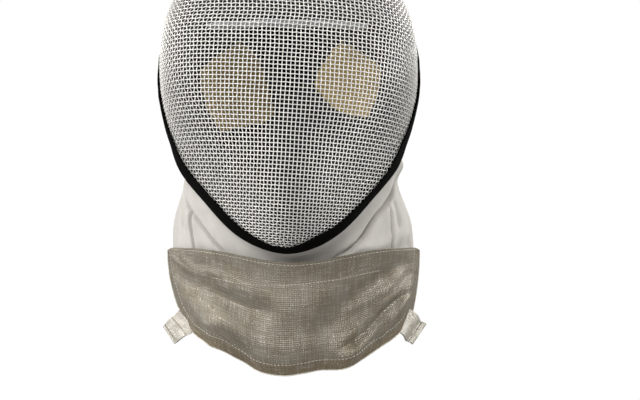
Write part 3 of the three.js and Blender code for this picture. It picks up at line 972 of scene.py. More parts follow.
@dataclass
class WireDome:
    """Woven wire dome: crossing wires that pass over and under each other on the dome's skin."""

    skin: DomeSkin
    pitch: float = 3.1 * MM
    radius: float = 0.378 * MM
    crimp: float = 0.6 * MM
    spread: float = 0.00018
    crown_spread: float = 0.00013
    spread_heights: tuple[float, float] = (25 * MM, -25 * MM)
    roll: float = math.radians(3.7)
    level_top: float = 55 * MM
    crown_tilt: float = math.radians(52)
    tilt_past: float = 0.5
    first_step: float = 0.6
    half_count: int = 70
    relax: int = 24
    relax_keep: float = 0.6
    lower_share: float = 0.45
    onward: tuple[float, ...] = (0.9, 0.6, 0.3)
    rim_near: float = 0.25 * MM
    nodes: np.ndarray = field(init=False)
    rim_ends: list = field(init=False)

    def weave(self) -> None:
        """Lays the crossings out: even steps up the middle line, and from it even steps to both sides."""
        right = np.array([math.cos(self.roll), 0, -math.sin(self.roll)])
        up = np.array([math.sin(self.roll), 0, math.cos(self.roll)])
        middle = self.skin.cut(np.array([0.0, FACE_PLANE, 0.0]), right)
        if middle[0, 2] > middle[-1, 2]:
            middle = middle[::-1]
        lengths = run_of(middle)
        length = lengths[-1]
        steps = np.arange(self.first_step * self.pitch, length, self.pitch)
        starts = read_along(middle, lengths, steps)
        front = starts[:, 1] < 0
        level = np.interp(self.level_top, starts[front][:, 2], steps[front])
        tilts = self.crown_tilt * smooth_step(steps, level, length + self.tilt_past * (length - level))
        self.nodes = np.full((len(steps), 2 * self.half_count + 1, 3), np.nan)
        self.rim_ends = []
        for i, (start, tilt) in enumerate(zip(starts, tilts)):
            normal = math.cos(tilt) * up + math.sin(tilt) * np.array([0.0, 1.0, 0.0])
            line = self.skin.cut(start, normal)
            if line[0, 0] > line[-1, 0]:
                line = line[::-1]
            run = run_of(line)
            here = run[np.linalg.norm(line - start, axis=1).argmin()]
            places = here + self._columns(start[2])
            held = (places >= 0) & (places <= run[-1])
            self.nodes[i, held] = read_along(line, run, places[held])
            self.rim_ends.append((line[0], line[-1]))
        for _ in range(self.relax):
            self._relax()

    def _columns(self, height: float) -> np.ndarray:
        """Places of the upright wires along a level one, drawn apart toward the sides, most at the jaw.

        Args:
            height: The level wire's height.

        Returns:
            Lengths from the middle line.
        """
        counts = np.arange(-self.half_count, self.half_count + 1)
        high, low = self.spread_heights
        share = smooth_step(np.array(-height), -high, -low)
        drawn = self.crown_spread + (self.spread - self.crown_spread) * share
        return self.pitch * (counts + drawn * counts**3)

    def _relax(self) -> None:
        """Moves each inner crossing a little toward the middle of its four neighbours."""
        inner = self.nodes[1:-1, 1:-1]
        around = self.nodes[:-2, 1:-1] + self.nodes[2:, 1:-1] + self.nodes[1:-1, :-2] + self.nodes[1:-1, 2:]
        moved = self.relax_keep * inner + (1 - self.relax_keep) / 4 * around
        self.nodes[1:-1, 1:-1] = np.where(np.isnan(moved), inner, moved)

    def _normals(self) -> np.ndarray:
        """Outward normals at the crossings, from their neighbours.

        Returns:
            The normals.
        """

        def slope(axis: int) -> np.ndarray:
            """Steps over each crossing along one axis.

            Args:
                axis: 0 up the dome or 1 across it.

            Returns:
                The steps.
            """
            after = np.roll(self.nodes, -1, axis) - self.nodes
            before = self.nodes - np.roll(self.nodes, 1, axis)
            both = np.where(np.isnan(after), before, after) + np.where(np.isnan(before), after, before)
            return np.nan_to_num(both)

        return unit(np.cross(slope(1), slope(0)))

    def _wire(
        self, stock: MeshStock, points: np.ndarray, normals: np.ndarray, over: np.ndarray, ends: tuple
    ) -> None:
        """Adds one wire.

        Args:
            stock: What it is added to.
            points: Its crossings.
            normals: Outward normals there.
            over: 1 where it passes over and -1 where it passes under.
            ends: Points on the rim that it runs on to, or None.
        """
        middle = points - normals * MESH_WALL / 2
        lifted = middle + normals * (self.crimp * over)[:, None]
        line = np.empty((2 * len(points) - 1, 3))
        facing = np.empty_like(line)
        line[::2] = lifted
        line[1::2] = (middle[1:] + middle[:-1]) / 2
        facing[::2] = normals
        facing[1::2] = unit(normals[1:] + normals[:-1])
        for end, at in zip(ends, (0, -1)):
            if end is None:
                continue
            tip = end - facing[at] * MESH_WALL / 2
            if np.linalg.norm(tip - line[at]) > self.radius:
                line = np.insert(line, 0 if at == 0 else len(line), tip, axis=0)
                facing = np.insert(facing, 0 if at == 0 else len(facing), facing[at], axis=0)
        stock.tube(line, facing, self.radius)

    @staticmethod
    def _runs(held: np.ndarray) -> list[np.ndarray]:
        """Unbroken runs of true values, as lists of places."""
        places = np.flatnonzero(held)
        return [run for run in np.split(places, np.flatnonzero(np.diff(places) > 1) + 1) if len(run) > 1]

    def _beyond(self, inner: np.ndarray, last: np.ndarray) -> np.ndarray | None:
        """The point where a wire runs on to the rim, if the rim isn't already there.

        Args:
            inner: The wire's last crossing but one.
            last: Its last crossing.

        Returns:
            The point, or None.
        """
        step = last - inner
        for share in self.onward:
            found, _, _, gap = self.skin.tree.find_nearest(Vector(last + share * step))
            if found is not None and gap < self.rim_near:
                return np.array(found)
        return None

    def build(self) -> None:
        """Builds the level wires in two pieces and the upright wires in two."""
        self.weave()
        normals = self._normals()
        held = ~np.isnan(self.nodes[..., 0])
        rows, columns = held.shape
        parity = np.where(np.add.outer(np.arange(rows), np.arange(columns)) % 2, 1.0, -1.0)
        stocks = {name: MeshStock() for name in ("weft_lower", "weft_upper", "warp_left", "warp_right")}
        for i in range(rows):
            stock = stocks["weft_lower" if i < rows * self.lower_share else "weft_upper"]
            for run in self._runs(held[i]):
                self._wire(stock, self.nodes[i, run], normals[i, run], -parity[i, run], self.rim_ends[i])
        for j in range(columns):
            stock = stocks["warp_left" if j < columns // 2 else "warp_right"]
            for run in self._runs(held[:, j]):
                line = self.nodes[run, j]
                ends = (self._beyond(line[1], line[0]), self._beyond(line[-2], line[-1]))
                self._wire(stock, line, normals[run, j], parity[run, j], ends)
        for name, stock in stocks.items():
            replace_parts(stock.piece("mesh_" + name, STEEL), "face_mesh")


@dataclass(frozen=True)
class TrimRow:
    """How far the rim binding reaches over the mesh, inside it and past its edge at one height."""

    height: float
    left: float
    right: float
    inside: float
    past_left: float
    past_right: float


@dataclass
class RimTrim:
    """Black binding folded over the wire edge, wider at the jaw than at the chin."""

    skin: DomeSkin
    wall: float = 1.7 * MM
    inner_wall: float = 1.1 * MM
    gap: float = 0.35 * MM
    stations: int = 400
    ripple: float = 0.1 * MM
    ripples: int = 37
    ripple_step: float = 0.7
    lip: float = 0.1 * MM
    chin_blend: float = 12 * MM
    rows: tuple[TrimRow, ...] = table(
        TrimRow,
        0,
        (-129, 5.2, 6.2, 15.5, 2.9, 3),
        (-127, 6, 9, 15.5, 3.6, 3.4),
        (-122, 7.5, 11, 15.5, 4.6, 3.8),
        (-115, 8.5, 8.8, 15.5, 5, 3.2),
        (-105, 9, 8, 15.5, 5, 2.8),
        (-90, 8.5, 6.2, 15, 5, 2.4),
        (-75, 8, 6.5, 14, 6, 2.8),
        (-60, 8, 8.2, 13, 6, 4.4),
        (-45, 7.8, 8, 13, 5.4, 5),
        (-20, 6.5, 6, 13, 4.2, 3.6),
        (20, 5, 3.8, 12.5, 2.2, 1.8),
        (80, 5, 4.2, 8, 1.8, 1.6),
        (120, 6.5, 6.5, 6.5, 2.4, 2.4),
    )

    def _reaches(self, rim: np.ndarray) -> tuple[np.ndarray, np.ndarray, np.ndarray]:
        """How far the binding reaches at each point of the rim.

        Args:
            rim: The points.

        Returns:
            Reach of the outer leg, of the inner leg and of the fold past the edge.
        """
        keys = np.array([row.height for row in self.rows])
        left, right, inside, past_left, past_right = (
            np.interp(rim[:, 2], keys, [getattr(row, side) for row in self.rows])
            for side in ("left", "right", "inside", "past_left", "past_right")
        )
        blend = smooth_step(rim[:, 0], -self.chin_blend, self.chin_blend)
        return left + (right - left) * blend, inside, past_left + (past_right - past_left) * blend

    def build(self) -> None:
        """Sweeps the section round the rim."""
        turns = np.arange(self.stations) / self.stations
        rim, normals, edge = self.skin.rim_at(turns)
        face, inside, fold = self._reaches(rim)
        none = np.zeros_like(face)
        out = self.gap + self.wall
        over, under = self.gap, -MESH_WALL - self.gap
        deep = under - self.inner_wall
        section = [
            (-face, over),
            (-face - self.lip, 0.6 * out),
            (-0.94 * face, 0.95 * out),
            (-0.7 * face, out),
            (-0.35 * face, out),
            (none, out),
            (0.45 * fold, 0.8 * out),
            (0.9 * fold, 0.25 * out),
            (fold, -MESH_WALL / 2),
            (0.9 * fold, -MESH_WALL - 0.25 * out),
            (0.45 * fold, -MESH_WALL - 0.8 * out),
            (none, deep),
            (-0.5 * inside, deep),
            (-0.95 * inside, deep + 0.05 * out),
            (-inside - self.lip, deep + 0.4 * out),
            (-inside, under),
            (-0.5 * inside, under),
            (none + self.gap, under),
            (none + self.gap, over),
            (-0.5 * face, over),
        ]
        rings = np.empty((self.stations, len(section), 3))
        for k, (past, off) in enumerate(section):
            base, facing = rim + np.maximum(past, 0)[:, None] * edge, normals
            if past.max() < 0:
                hits = [self.skin.tree.find_nearest(Vector(p)) for p in rim + past[:, None] * edge]
                base = np.array([hit[0] for hit in hits])
                facing = unit(np.array([hit[1] for hit in hits]) + normals)
            phase = 2 * math.pi * turns * self.ripples + self.ripple_step * k
            wave = self.ripple * np.sin(phase) * (past < 0)
            rings[:, k] = base + facing * (off + wave * np.sign(off))[:, None]
        index = np.arange(self.stations * len(section)).reshape(self.stations, -1)
        after = np.roll(index, -1, axis=0)
        wall = np.stack([index, np.roll(index, -1, 1), np.roll(after, -1, 1), after], -1).reshape(-1, 4)
        stock = MeshStock()
        stock.take(rings.reshape(-1, 3), wall)
        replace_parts(stock.piece("rim_binding", VINYL), "rim_trim")


@dataclass(frozen=True)
class Bulge:
    """How far the bib's two sides stand out at one height."""

    height: float
    reach: float
    left: float
    right: float


@dataclass
class Bib:
    """White padded bib that hangs from inside the rim."""

    skin: DomeSkin
    wall: float = 2.4 * MM
    tuck: float = 3 * MM
    clear: float = 3.3 * MM
    leave: float = 3 * MM
    end_turn: float = 0.37
    half_width: float = 93 * MM
    shift: float = 4.2 * MM
    flare: float = 22 * MM
    pinch: float = 22 * MM
    front_depth: float = 68.3 * MM
    side_depth: float = 127 * MM
    bottom: float = -205 * MM
    side_rise: float = 50 * MM
    swing: float = 26 * MM
    end_swing: float = 8 * MM
    hang: float = 30 * MM
    tuck_share: float = 0.12
    half_cloth: float = 132 * MM
    height: float = 113 * MM
    arc: float = math.pi / 2.15
    free_share: float = 0.26
    columns: int = 270
    rows: int = 150
    row_shares: tuple[float, ...] = (0, 0.06, 0.88, 1)
    row_places: tuple[float, ...] = (0, 0.1, 0.64, 1)
    bulges: tuple[Bulge, ...] = table(
        Bulge,
        0,
        (-60, 10, 0, 19.5),
        (-105, 15, 2.4, 2.6),
    )
    creases: tuple[Crease, ...] = table(
        Crease,
        1,
        (
            ((-1, 0.48), (-0.885, 0.427), (-0.795, 0.42), (-0.64, 0.417), (-0.48, 0.433), (-0.3, 0.45)),
            2.8, 1.4, 2.2, 1.2, 7,
        ),
        (
            (
                (0.2, 0.4), (0.39, 0.393), (0.475, 0.387), (0.545, 0.37), (0.63, 0.357), (0.795, 0.38),
                (1, 0.39),
            ),
            3.6, 2, 1.8, 2.4, 7,
        ),
        (
            ((-0.77, 0.4), (-0.74, 0.433), (-0.715, 0.483), (-0.685, 0.533), (-0.62, 0.62)),
            1.6, 0.9, 0.3, 1.6, 3.5,
        ),
        (((0.77, 0.38), (0.75, 0.43), (0.73, 0.477), (0.705, 0.54), (0.64, 0.68)), 1.3, 0.8, 1.1, 0.3, 4),
        (((-0.95, 0.46), (-0.83, 0.487), (-0.78, 0.58)), 1.4, 3, 0.8, 0.8),
        (((0.36, 0.36), (0.43, 0.42), (0.54, 0.51), (0.68, 0.56), (0.8, 0.57)), -1.8, 5),
        (((0.82, 0.4), (0.805, 0.487), (0.8, 0.58)), 1.6, 3.5, 0.8, 0.8),
        (((-0.63, 0.6), (-0.56, 0.56), (-0.49, 0.53), (-0.42, 0.5)), 2, 4.5),
        (((0.7, 0.63), (0.785, 0.66), (0.88, 0.71), (0.96, 0.75)), 3, 5),
    )

    def core(self, across: np.ndarray, down: np.ndarray) -> np.ndarray:
        """Outer face of the plain hanging bib.

        Args:
            across: -1 to 1 from its left end to its right.
            down: 0 to 1 from its tucked edge to its hem.

        Returns:
            Points.
        """
        rim, normal, edge = self.skin.rim_at(across * self.end_turn / 2)
        inside = rim - normal * (MESH_WALL + self.clear)
        tucked = inside - edge * self.tuck
        leaving = inside + edge * self.leave
        turn = across * self.arc
        end = np.stack(
            [
                self.shift + self.half_width * np.sin(turn),
                FACE_PLANE + self.side_depth - (self.side_depth - self.front_depth) * np.cos(turn),
                self.bottom + self.side_rise * across**2,
            ],
            -1,
        )
        swing = (self.swing + (self.end_swing - self.swing) * across**2)[..., None]
        drawn = leaving + edge * swing
        drawn[..., 0] -= self.pinch * across**3
        held = end.copy()
        held[..., 0] += self.flare * across
        held[..., 2] += self.hang
        s = np.clip((down - self.tuck_share) / (1 - self.tuck_share), 0, 1)[..., None]
        hung = (1 - s) ** 3 * leaving + 3 * s * (1 - s) ** 2 * drawn + 3 * s**2 * (1 - s) * held + s**3 * end
        for bulge in self.bulges:
            out = np.where(across < 0, -bulge.left, bulge.right) * np.abs(across) ** 3
            away = (hung[..., 2] - bulge.height) / bulge.reach
            hung[..., 0] += out * s[..., 0] ** 0.5 * np.exp(-(away**2))
        under = np.clip(down / self.tuck_share, 0, 1)[..., None]
        return np.where(down[..., None] < self.tuck_share, tucked + (leaving - tucked) * under, hung)

    def build(self) -> None:
        """Builds the bib with its folds."""
        down = np.interp(edged(self.rows), self.row_shares, self.row_places)
        across, down = np.meshgrid(2 * edged(self.columns) - 1, down)
        points = self.core(across, down)
        free = smooth_step(down, self.tuck_share, self.free_share)
        lift = sum(crease.shift(across, down, self.half_cloth, self.height) for crease in self.creases)
        points = points + grid_normals(points) * (lift * free)[..., None]
        stock = MeshStock()
        cloth = np.stack([across * self.half_cloth, down * self.height], -1)
        stock.shell(points, self.wall, cloth)
        bib = stock.piece("throat_bib", DRILL)
        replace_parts(bib, "bib")


@dataclass(frozen=True)
class HemRow:
    """Height of a hem at one place across its cloth."""

    side: float
    height: float


@dataclass
class LameBib:
    """Conductive bib: a hanging panel of metallic cloth with hems, drape folds and stitch rows."""

    wall: float = 1.4 * MM
    half_width: float = 102 * MM
    turn: float = math.radians(58)
    front_depth: float = 57 * MM
    side_depth: float = 108.5 * MM
    top: float = -137.6 * MM
    top_rise: float = 9.6 * MM
    top_reach: float = 80 * MM
    corner_drop: float = 2.6 * MM
    taper: float = 0.07
    shift: float = 4 * MM
    sway: float = 1.5 * MM
    half_cloth: float = 122 * MM
    height: float = 82 * MM
    corner_share: float = 0.1
    nudge: float = 0.004
    columns: int = 220
    rows: int = 120
    hem_band: float = 8.5 * MM
    max_slant: float = 2.2
    hem_seam_end: float = 0.86
    top_seam_end: float = 0.94
    top_seam_drop: float = 0.025
    seam_points: int = 400
    short_seam_points: int = 160
    edge_cord: float = 0.4 * MM
    cord_lift: float = 0.1
    cord_top: float = 0.03
    cord_reach: float = 0.99
    cord_side: float = 0.995
    cord_hem: float = 0.997
    cord_points: int = 80
    seams: tuple[Line, ...] = (
        (
            (-0.56, 0.285), (-0.4, 0.262), (-0.27, 0.235), (-0.1, 0.2), (0.1, 0.195), (0.3, 0.2),
            (0.47, 0.207), (0.63, 0.22),
        ),
        (
            (0.925, 0.02), (0.918, 0.12), (0.912, 0.22), (0.9, 0.34), (0.86, 0.44), (0.825, 0.54),
            (0.8, 0.62),
        ),
        ((-0.965, 0.03), (-0.955, 0.25), (-0.93, 0.45), (-0.9, 0.62), (-0.86, 0.78)),
    )
    hem: tuple[HemRow, ...] = table(
        HemRow,
        1,
        (-1, -176),
        (-0.85, -194.5),
        (-0.7, -202),
        (-0.6, -206),
        (-0.49, -213),
        (-0.33, -220.9),
        (-0.1, -224.2),
        (0.08, -222.2),
        (0.2, -220.2),
        (0.38, -219.4),
        (0.53, -213.4),
        (0.66, -206.5),
        (0.88, -194.7),
        (1, -180),
    )
    folds: tuple[Fold, ...] = table(
        Fold,
        4,
        (-0.74, 0.2, -0.26, 0.56, 11, -2.2),
        (0.76, 0.2, 0.24, 0.6, 11, -3),
        (-0.86, 0.46, -0.36, 0.74, 10, 1.4),
        (0.84, 0.5, 0.4, 0.86, 9, 3),
        (-0.2, 0.58, 0.2, 0.6, 14, -1),
        (-0.38, 0.86, -0.34, 1.1, 12, -4),
        (0.36, 0.8, 0.38, 1.1, 13, 5),
        (-0.6, 0.8, -0.58, 1.1, 9, 3),
    )
    creases: tuple[Crease, ...] = table(
        Crease,
        1,
        (
            (
                (-0.95, 0.36), (-0.8, 0.4), (-0.66, 0.44), (-0.56, 0.47), (-0.42, 0.46), (-0.28, 0.44),
                (-0.05, 0.45),
            ),
            3.4, 9, 0.3, 0.8, 14,
        ),
        (((-0.95, 0.58), (-0.785, 0.537), (-0.685, 0.553), (-0.605, 0.6), (-0.42, 0.64)), 0.8, 6),
        (((-0.8, 0.68), (-0.66, 0.71), (-0.56, 0.74), (-0.4, 0.7), (-0.2, 0.7)), -0.8, 7),
        (((-0.86, 0.02), (-0.79, 0.167), (-0.705, 0.217), (-0.45, 0.25)), -0.7, 3.5),
        (((-0.98, 0.08), (-0.88, 0.18), (-0.76, 0.26), (-0.55, 0.29)), -0.5, 3),
        (((0.3, 0.53), (0.42, 0.487), (0.53, 0.46), (0.65, 0.417), (0.76, 0.323), (0.88, 0.2)), -1.2, 4),
        (((0.16, 0.47), (0.3, 0.41), (0.4, 0.37), (0.5, 0.34), (0.6, 0.31), (0.74, 0.25)), 1.9, 7.5),
        (
            (
                (0.25, 0.82), (0.42, 0.767), (0.515, 0.73), (0.565, 0.693), (0.62, 0.643), (0.745, 0.567),
                (0.84, 0.5),
            ),
            3, 4.5, 0.4, 1.8, 7,
        ),
        (((0.55, 0.92), (0.625, 0.833), (0.68, 0.763), (0.74, 0.7), (0.78, 0.62), (0.92, 0.58)), -2.8, 4),
        (((-0.3, 0.72), (0, 0.75), (0.3, 0.7)), -0.5, 5),
        (((-0.75, 0.15), (-0.3, 0.17), (0.3, 0.15), (0.8, 0.13)), 3, 14),
        (((-0.6, 1.06), (-0.2, 1.05), (0.2, 1.05), (0.6, 1.06)), 6, 10),
    )

    def core(self, across: np.ndarray, down: np.ndarray) -> np.ndarray:
        """Outer face of the panel with its main folds.

        Args:
            across: -1 to 1 from its left edge to its right.
            down: 0 to 1 from its top edge to its hem.

        Returns:
            Points.
        """
        turn = self.turn * across
        side = np.sin(turn) / math.sin(self.turn)
        corner = np.maximum(0, 1 - (1 - np.abs(across)) / self.corner_share)
        rise = self.top_rise * smooth_step(self.half_width * np.abs(side), 0, self.top_reach)
        top = self.top + rise - self.corner_drop * corner**2
        keys = np.array([row.side for row in self.hem])
        bottom = smooth_column(keys, np.array([row.height for row in self.hem]), side)
        x = self.shift + self.sway * down**2 + self.half_width * side * (1 - self.taper * down**2)
        back = (self.side_depth - self.front_depth) * (1 - np.cos(turn)) / (1 - math.cos(self.turn))
        flat = np.stack([x, FACE_PLANE + self.front_depth + back, top + (bottom - top) * down], -1)
        return flat + self._lifted(across, down, self.folds)

    def face(self, across: np.ndarray, down: np.ndarray) -> np.ndarray:
        """Outer face with the finer creases too."""
        return self.core(across, down) + self._lifted(across, down, self.creases)

    def _lifted(self, across: np.ndarray, down: np.ndarray, folds: tuple[Fold | Crease, ...]) -> np.ndarray:
        """How folds or creases move the panel.

        Args:
            across: Places across.
            down: Places down.
            folds: The folds or creases.

        Returns:
            The way that each place moves.
        """
        turn = self.turn * across
        facing = np.stack([np.sin(turn), -np.cos(turn), np.zeros_like(turn)], -1)
        lift = sum(fold.shift(across, down, self.half_cloth, self.height) for fold in folds)
        return facing * lift[..., None]

    def _seam(self, across: np.ndarray, down: np.ndarray) -> tuple[np.ndarray, np.ndarray]:
        """A seam on the panel.

        Args:
            across: Places across.
            down: Places down.

        Returns:
            Points and outward normals.
        """
        sideways = self.face(across + self.nudge, down) - self.face(across - self.nudge, down)
        downward = self.face(across, down + self.nudge) - self.face(across, down - self.nudge)
        return self.face(across, down), unit(np.cross(downward, sideways))

    def _hem_line(self, across: np.ndarray, inset: float) -> np.ndarray:
        """How far down a line lies that keeps the given distance from the hem.

        Args:
            across: Places across.
            inset: The distance.

        Returns:
            Places down.
        """
        low = self.core(across, np.ones_like(across))
        high = self.core(across, np.zeros_like(across))
        run = np.gradient(low[..., 0]), np.gradient(low[..., 2])
        slant = np.hypot(*run) / np.maximum(np.abs(run[0]), TINY)
        return 1 - inset * np.minimum(slant, self.max_slant) / (high[..., 2] - low[..., 2])

    def _seam_lines(self) -> list[tuple[np.ndarray, np.ndarray]]:
        """The stitch rows: above the hem, below the top edge and along the seams.

        Returns:
            Places across and down of each.
        """
        hem = np.linspace(-self.hem_seam_end, self.hem_seam_end, self.seam_points)
        top = np.linspace(-self.top_seam_end, self.top_seam_end, self.seam_points)
        lines = [(hem, self._hem_line(hem, self.hem_band)), (top, np.full_like(top, self.top_seam_drop))]
        run = np.linspace(0, 1, self.short_seam_points)
        for seam in self.seams:
            shares = np.linspace(0, 1, len(seam))
            lines.append(tuple(np.interp(run, shares, places) for places in zip(*seam)))
        return lines

    def _edge_line(self) -> tuple[np.ndarray, np.ndarray]:
        """The thread edge down both sides and along the hem.

        Returns:
            Its places across and down.
        """
        side = np.linspace(self.cord_top, self.cord_reach, self.cord_points)
        level = np.linspace(-self.cord_reach, self.cord_reach, 3 * self.cord_points)
        right, foot = np.full_like(side, self.cord_side), np.full_like(level, self.cord_hem)
        return np.concatenate([-right, level, right]), np.concatenate([side, foot, side[::-1]])

    def build(self) -> None:
        """Builds the panel and its stitch rows."""
        across, down = np.meshgrid(2 * edged(self.columns) - 1, edged(self.rows))
        stock = MeshStock()
        cloth = np.stack([across * self.half_cloth, down * self.height], -1)
        stock.shell(self.face(across, down), self.wall, cloth)
        panel = stock.piece("conductive_bib", LAME)
        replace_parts(panel, "lame_bib")
        rows = MeshStock()
        for line in self._seam_lines():
            rows.stitches(*self._seam(*line), Thread())
        points, normals = self._seam(*self._edge_line())
        rows.tube(points + self.cord_lift * self.wall * normals, normals, self.edge_cord)
        seams = rows.piece("conductive_bib_stitches", THREAD)


@dataclass(frozen=True)
class TabEdge:
    """Upper and lower corner of one end of a tab."""

    upper: tuple[float, float, float]
    lower: tuple[float, float, float]


@dataclass
class ClipTab:
    """A strip of metallic cloth folded into a short loop at a lower corner of the conductive bib.

    Bow holds rows of a share of the loop's length and how far it lies out of flat there.
    """

    name: str
    root: TabEdge
    end: TabEdge
    bow: Line
    wall: float = 2.2 * MM
    cloth_wall: float = 0.8 * MM
    end_seam: float = 0.84
    thread: Thread = Thread(0.26 * MM, 1.6 * MM, 1.9 * MM)
    rows: int = 48
    bend_rows: int = 13
    columns: int = 20

    def build(self) -> None:
        """Builds the folded strip and its end seam."""
        corners = np.array([[self.root.upper, self.root.lower], [self.end.upper, self.end.lower]]) * MM
        reach = np.linalg.norm(corners[1] - corners[0], axis=-1).mean()
        width = np.linalg.norm(corners[:, 1] - corners[:, 0], axis=-1).mean()
        out = np.cross(corners[1].mean(0) - corners[0].mean(0), corners[0, 1] - corners[0, 0])
        out = unit(out if out[1] < 0 else -out)
        round_off = 0.5 * self.wall
        straight = np.linspace(0, 1 - round_off / reach, self.rows)
        bend = np.linspace(math.pi / 2, -math.pi / 2, self.bend_rows)[1:-1]
        shares = np.concatenate([straight, straight[-1] + round_off / reach * np.cos(bend), straight[::-1]])
        near = np.zeros(self.rows)
        level = np.concatenate([near, round_off * (np.sin(bend) - 1), near - self.wall])
        keys, bows = np.array(self.bow).T
        level = level + smooth_column(keys, bows * MM, shares)
        spread = edged(self.columns)
        side = corners[0, None] + shares[:, None, None] * (corners[1] - corners[0])[None]
        flat = side[:, :1] + spread[None, :, None] * (side[:, 1:] - side[:, :1])
        points = flat + level[:, None, None] * out
        if (grid_normals(points)[self.rows // 2, self.columns // 2] * out).sum() < 0:
            points = points[:, ::-1]
        path = run_of(np.stack([shares * reach, level, np.zeros_like(level)], -1))
        cloth = np.stack(np.broadcast_arrays(spread[None, :] * width, path[:, None]), -1)
        stock = MeshStock()
        stock.shell(points, self.cloth_wall, cloth)
        tab = stock.piece(self.name + "_loop", TAB)
        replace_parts(tab, self.name)
        row = int(np.abs(straight - self.end_seam).argmin())
        rows = MeshStock()
        rows.stitches(points[row], grid_normals(points)[row], self.thread)
        seam = rows.piece(self.name + "_stitches", TAB_THREAD)


CLIP_TABS = (
    ClipTab(
        "clip_tab_left",
        TabEdge((-88.6, -15.2, -178.2), (-73.2, -27.6, -191.4)),
        TabEdge((-101.9, -4.9, -192.7), (-92.1, -11.9, -205.4)),
        ((0, -1), (0.36, -1.2), (0.44, 1.1), (0.82, 0.8), (0.9, 0.2), (0.95, 0.7), (1, 0)),
    ),
    ClipTab(
        "clip_tab_right",
        TabEdge((96.2, -13.6, -176.5), (84.2, -24, -191.6)),
        TabEdge((112.2, -2.9, -191.2), (100.4, -10.9, -206.4)),
        ((0, 0.2), (0.3, 1.5), (0.45, 1.6), (0.72, -2), (0.81, -2.7), (0.9, 0), (1, 0.1)),
    ),
)


@dataclass(frozen=True)
class Pad:
    """A padded piece inside the mask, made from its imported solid."""

    node: str
    piece: str
    finish: Finish
    voxel: float
    smooth: int
    fill: float


class Inside:
    """Liner, back pad, tongue and cushions."""

    PADS = (
        Pad("head_liner", "padded_liner", JERSEY, 2.5 * MM, 4, 0.6),
        # The back pad is partly a real padded piece and partly a dark sheet standing for the shade seen
        # through the open back.
        Pad("back_pad", "padded_back_and_shade", PAD, 1.5 * MM, 24, 0.6),
        Pad("back_tongue", "covered_tongue", TONGUE, 1.5 * MM, 4, 0.3),
        Pad("cushion_left", "soft_cushion_left", CUSHION, 1.8 * MM, 6, 0.7),
        Pad("cushion_right", "soft_cushion_right", CUSHION, 1.8 * MM, 6, 0.7),
    )
    TAPE_VOXEL = 0.9 * MM
    TAPE_SMOOTH = 3

    def build(self) -> None:
        """Builds every piece."""
        for pad in self.PADS:
            obj = self._remade(pad.node, pad.piece, pad.voxel, pad.smooth)
            dress(obj, pad.finish)
            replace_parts(obj, pad.node)
        tape = self._remade("liner_binding", "liner_tape", self.TAPE_VOXEL, self.TAPE_SMOOTH)
        dress(tape, TAPE)
        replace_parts(tape, "liner_binding")

    @staticmethod
    def _remade(node: str, name: str, voxel: float, smooth: int) -> bpy.types.Object:
        """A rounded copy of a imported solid.

        Args:
            node: The solid's name.
            name: The copy's name.
            voxel: Size of the copy's faces.
            smooth: How many times it is smoothed.

        Returns:
            The copy.
        """
        rough = add_object(name + "_rough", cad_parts[node].data.copy())
        remesh = rough.modifiers.new("remesh", "REMESH")
        remesh.mode = "VOXEL"
        remesh.voxel_size = voxel
        soften = rough.modifiers.new("soften", "SMOOTH")
        soften.iterations = smooth
        soften.factor = 0.5
        graph = bpy.context.evaluated_depsgraph_get()
        mesh = bpy.data.meshes.new_from_object(rough.evaluated_get(graph))
        mesh.polygons.foreach_set("use_smooth", np.ones(len(mesh.polygons), bool))
        bpy.data.objects.remove(rough)
        return add_object(name, mesh)


@dataclass(frozen=True)
class Lamp:
    """A soft square light aimed at the mask."""

    name: str
    place: tuple[float, float, float]
    size: float
    power: float

    def build(self) -> None:
        """Adds the light."""
        data = bpy.data.lights.new(self.name, "AREA")
        data.size = self.size
        data.energy = self.power
        lamp = add_object(self.name, data)
        lamp.location = self.place
        lamp.rotation_euler = (-Vector(self.place)).to_track_quat("-Z", "Y").to_euler()


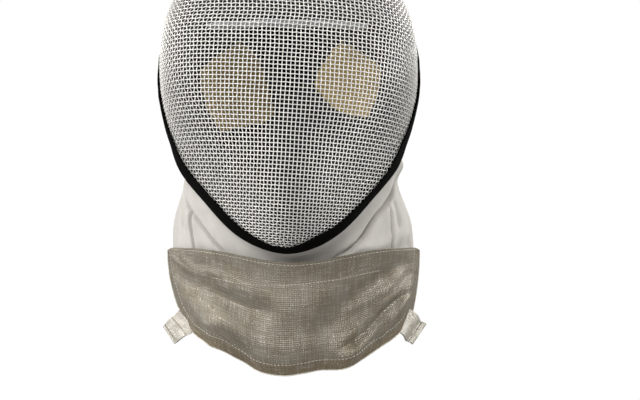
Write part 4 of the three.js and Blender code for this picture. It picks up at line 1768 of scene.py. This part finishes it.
@dataclass
class Studio:
    """Pale floor, soft lights, and the camera at the photograph's viewing angle."""

    focal: float = 56.25
    sensor: float = 36.0
    place: tuple[float, float, float] = (14.2 * MM, -815.2 * MM, -90 * MM)
    heading: float = math.radians(-0.776)
    floor_height: float = -0.3
    floor_radius: float = 8.0
    world_light: float = 0.3
    backdrop: float = 1.01
    floor_sides: int = 96
    floor_color: Color = (0.4, 0.4, 0.4)
    floor_roughness: float = 0.9
    lens_start: float = 0.01
    lamps: tuple[Lamp, ...] = (
        Lamp("key", (-0.5, -1.65, 0.72), 0.7, 22),
        Lamp("side_left", (-1.8, -0.35, 0.5), 0.8, 29),
        Lamp("side_right", (1.65, 0.15, 0.95), 0.8, 38),
        Lamp("rim", (0.2, 1.6, 1.3), 1.0, 6),
    )

    def build(self) -> None:
        """Builds the stage."""
        self._camera()
        self._floor()
        self._world()
        for lamp in self.lamps:
            lamp.build()

    def _camera(self) -> None:
        """Places the camera."""
        data = bpy.data.cameras.new("camera")
        data.lens = self.focal
        data.sensor_width = self.sensor
        data.clip_start = self.lens_start
        camera = add_object("camera", data)
        camera.location = self.place
        camera.rotation_euler = (math.pi / 2, 0, self.heading)
        bpy.context.scene.camera = camera

    def _floor(self) -> None:
        """Lays a plain pale floor."""
        work = bmesh.new()
        bmesh.ops.create_circle(work, cap_ends=True, segments=self.floor_sides, radius=self.floor_radius)
        mesh = bpy.data.meshes.new("floor")
        work.to_mesh(mesh)
        work.free()
        floor = add_object("floor", mesh)
        floor.location.z = self.floor_height
        material = bpy.data.materials.new("pale_floor")
        material.use_nodes = True
        graph = Graph(material.node_tree)
        tone = {"Base Color": (*self.floor_color, 1), "Roughness": self.floor_roughness}
        pale = graph.add("BsdfPrincipled", tone)
        white = graph.add("Emission", {"Strength": self.backdrop})
        seen = graph.add("LightPath").outputs["Is Camera Ray"]
        both = graph.add("MixShader", {0: seen, 1: pale.outputs[0], 2: white.outputs[0]})
        graph.add("OutputMaterial", {"Surface": both.outputs[0]})
        mesh.materials.append(material)

    def _world(self) -> None:
        """Fills the room with even light and shows it white."""
        world = bpy.data.worlds.new("studio")
        world.use_nodes = True
        graph = Graph(world.node_tree)
        seen = graph.add("LightPath").outputs["Is Camera Ray"]
        extra = graph.math("MULTIPLY", seen, self.backdrop - self.world_light)
        strength = graph.math("ADD", extra, self.world_light)
        sky = graph.add("Background", {"Color": (1, 1, 1, 1), "Strength": strength})
        graph.add("OutputWorld", {"Surface": sky.outputs[0]})
        bpy.context.scene.world = world
        bpy.context.scene.view_settings.view_transform = "Standard"


def main() -> None:
    """Builds and dresses the mask, then sets the stage."""
    logging.basicConfig(level=logging.INFO, format="%(name)s: %(message)s")
    skin = DomeSkin(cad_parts["face_mesh"])
    WireDome(skin).build()
    RimTrim(skin).build()
    Bib(skin).build()
    LameBib().build()
    for tab in CLIP_TABS:
        tab.build()
    Inside().build()
    Studio().build()


if __name__ == "__main__":
    main()
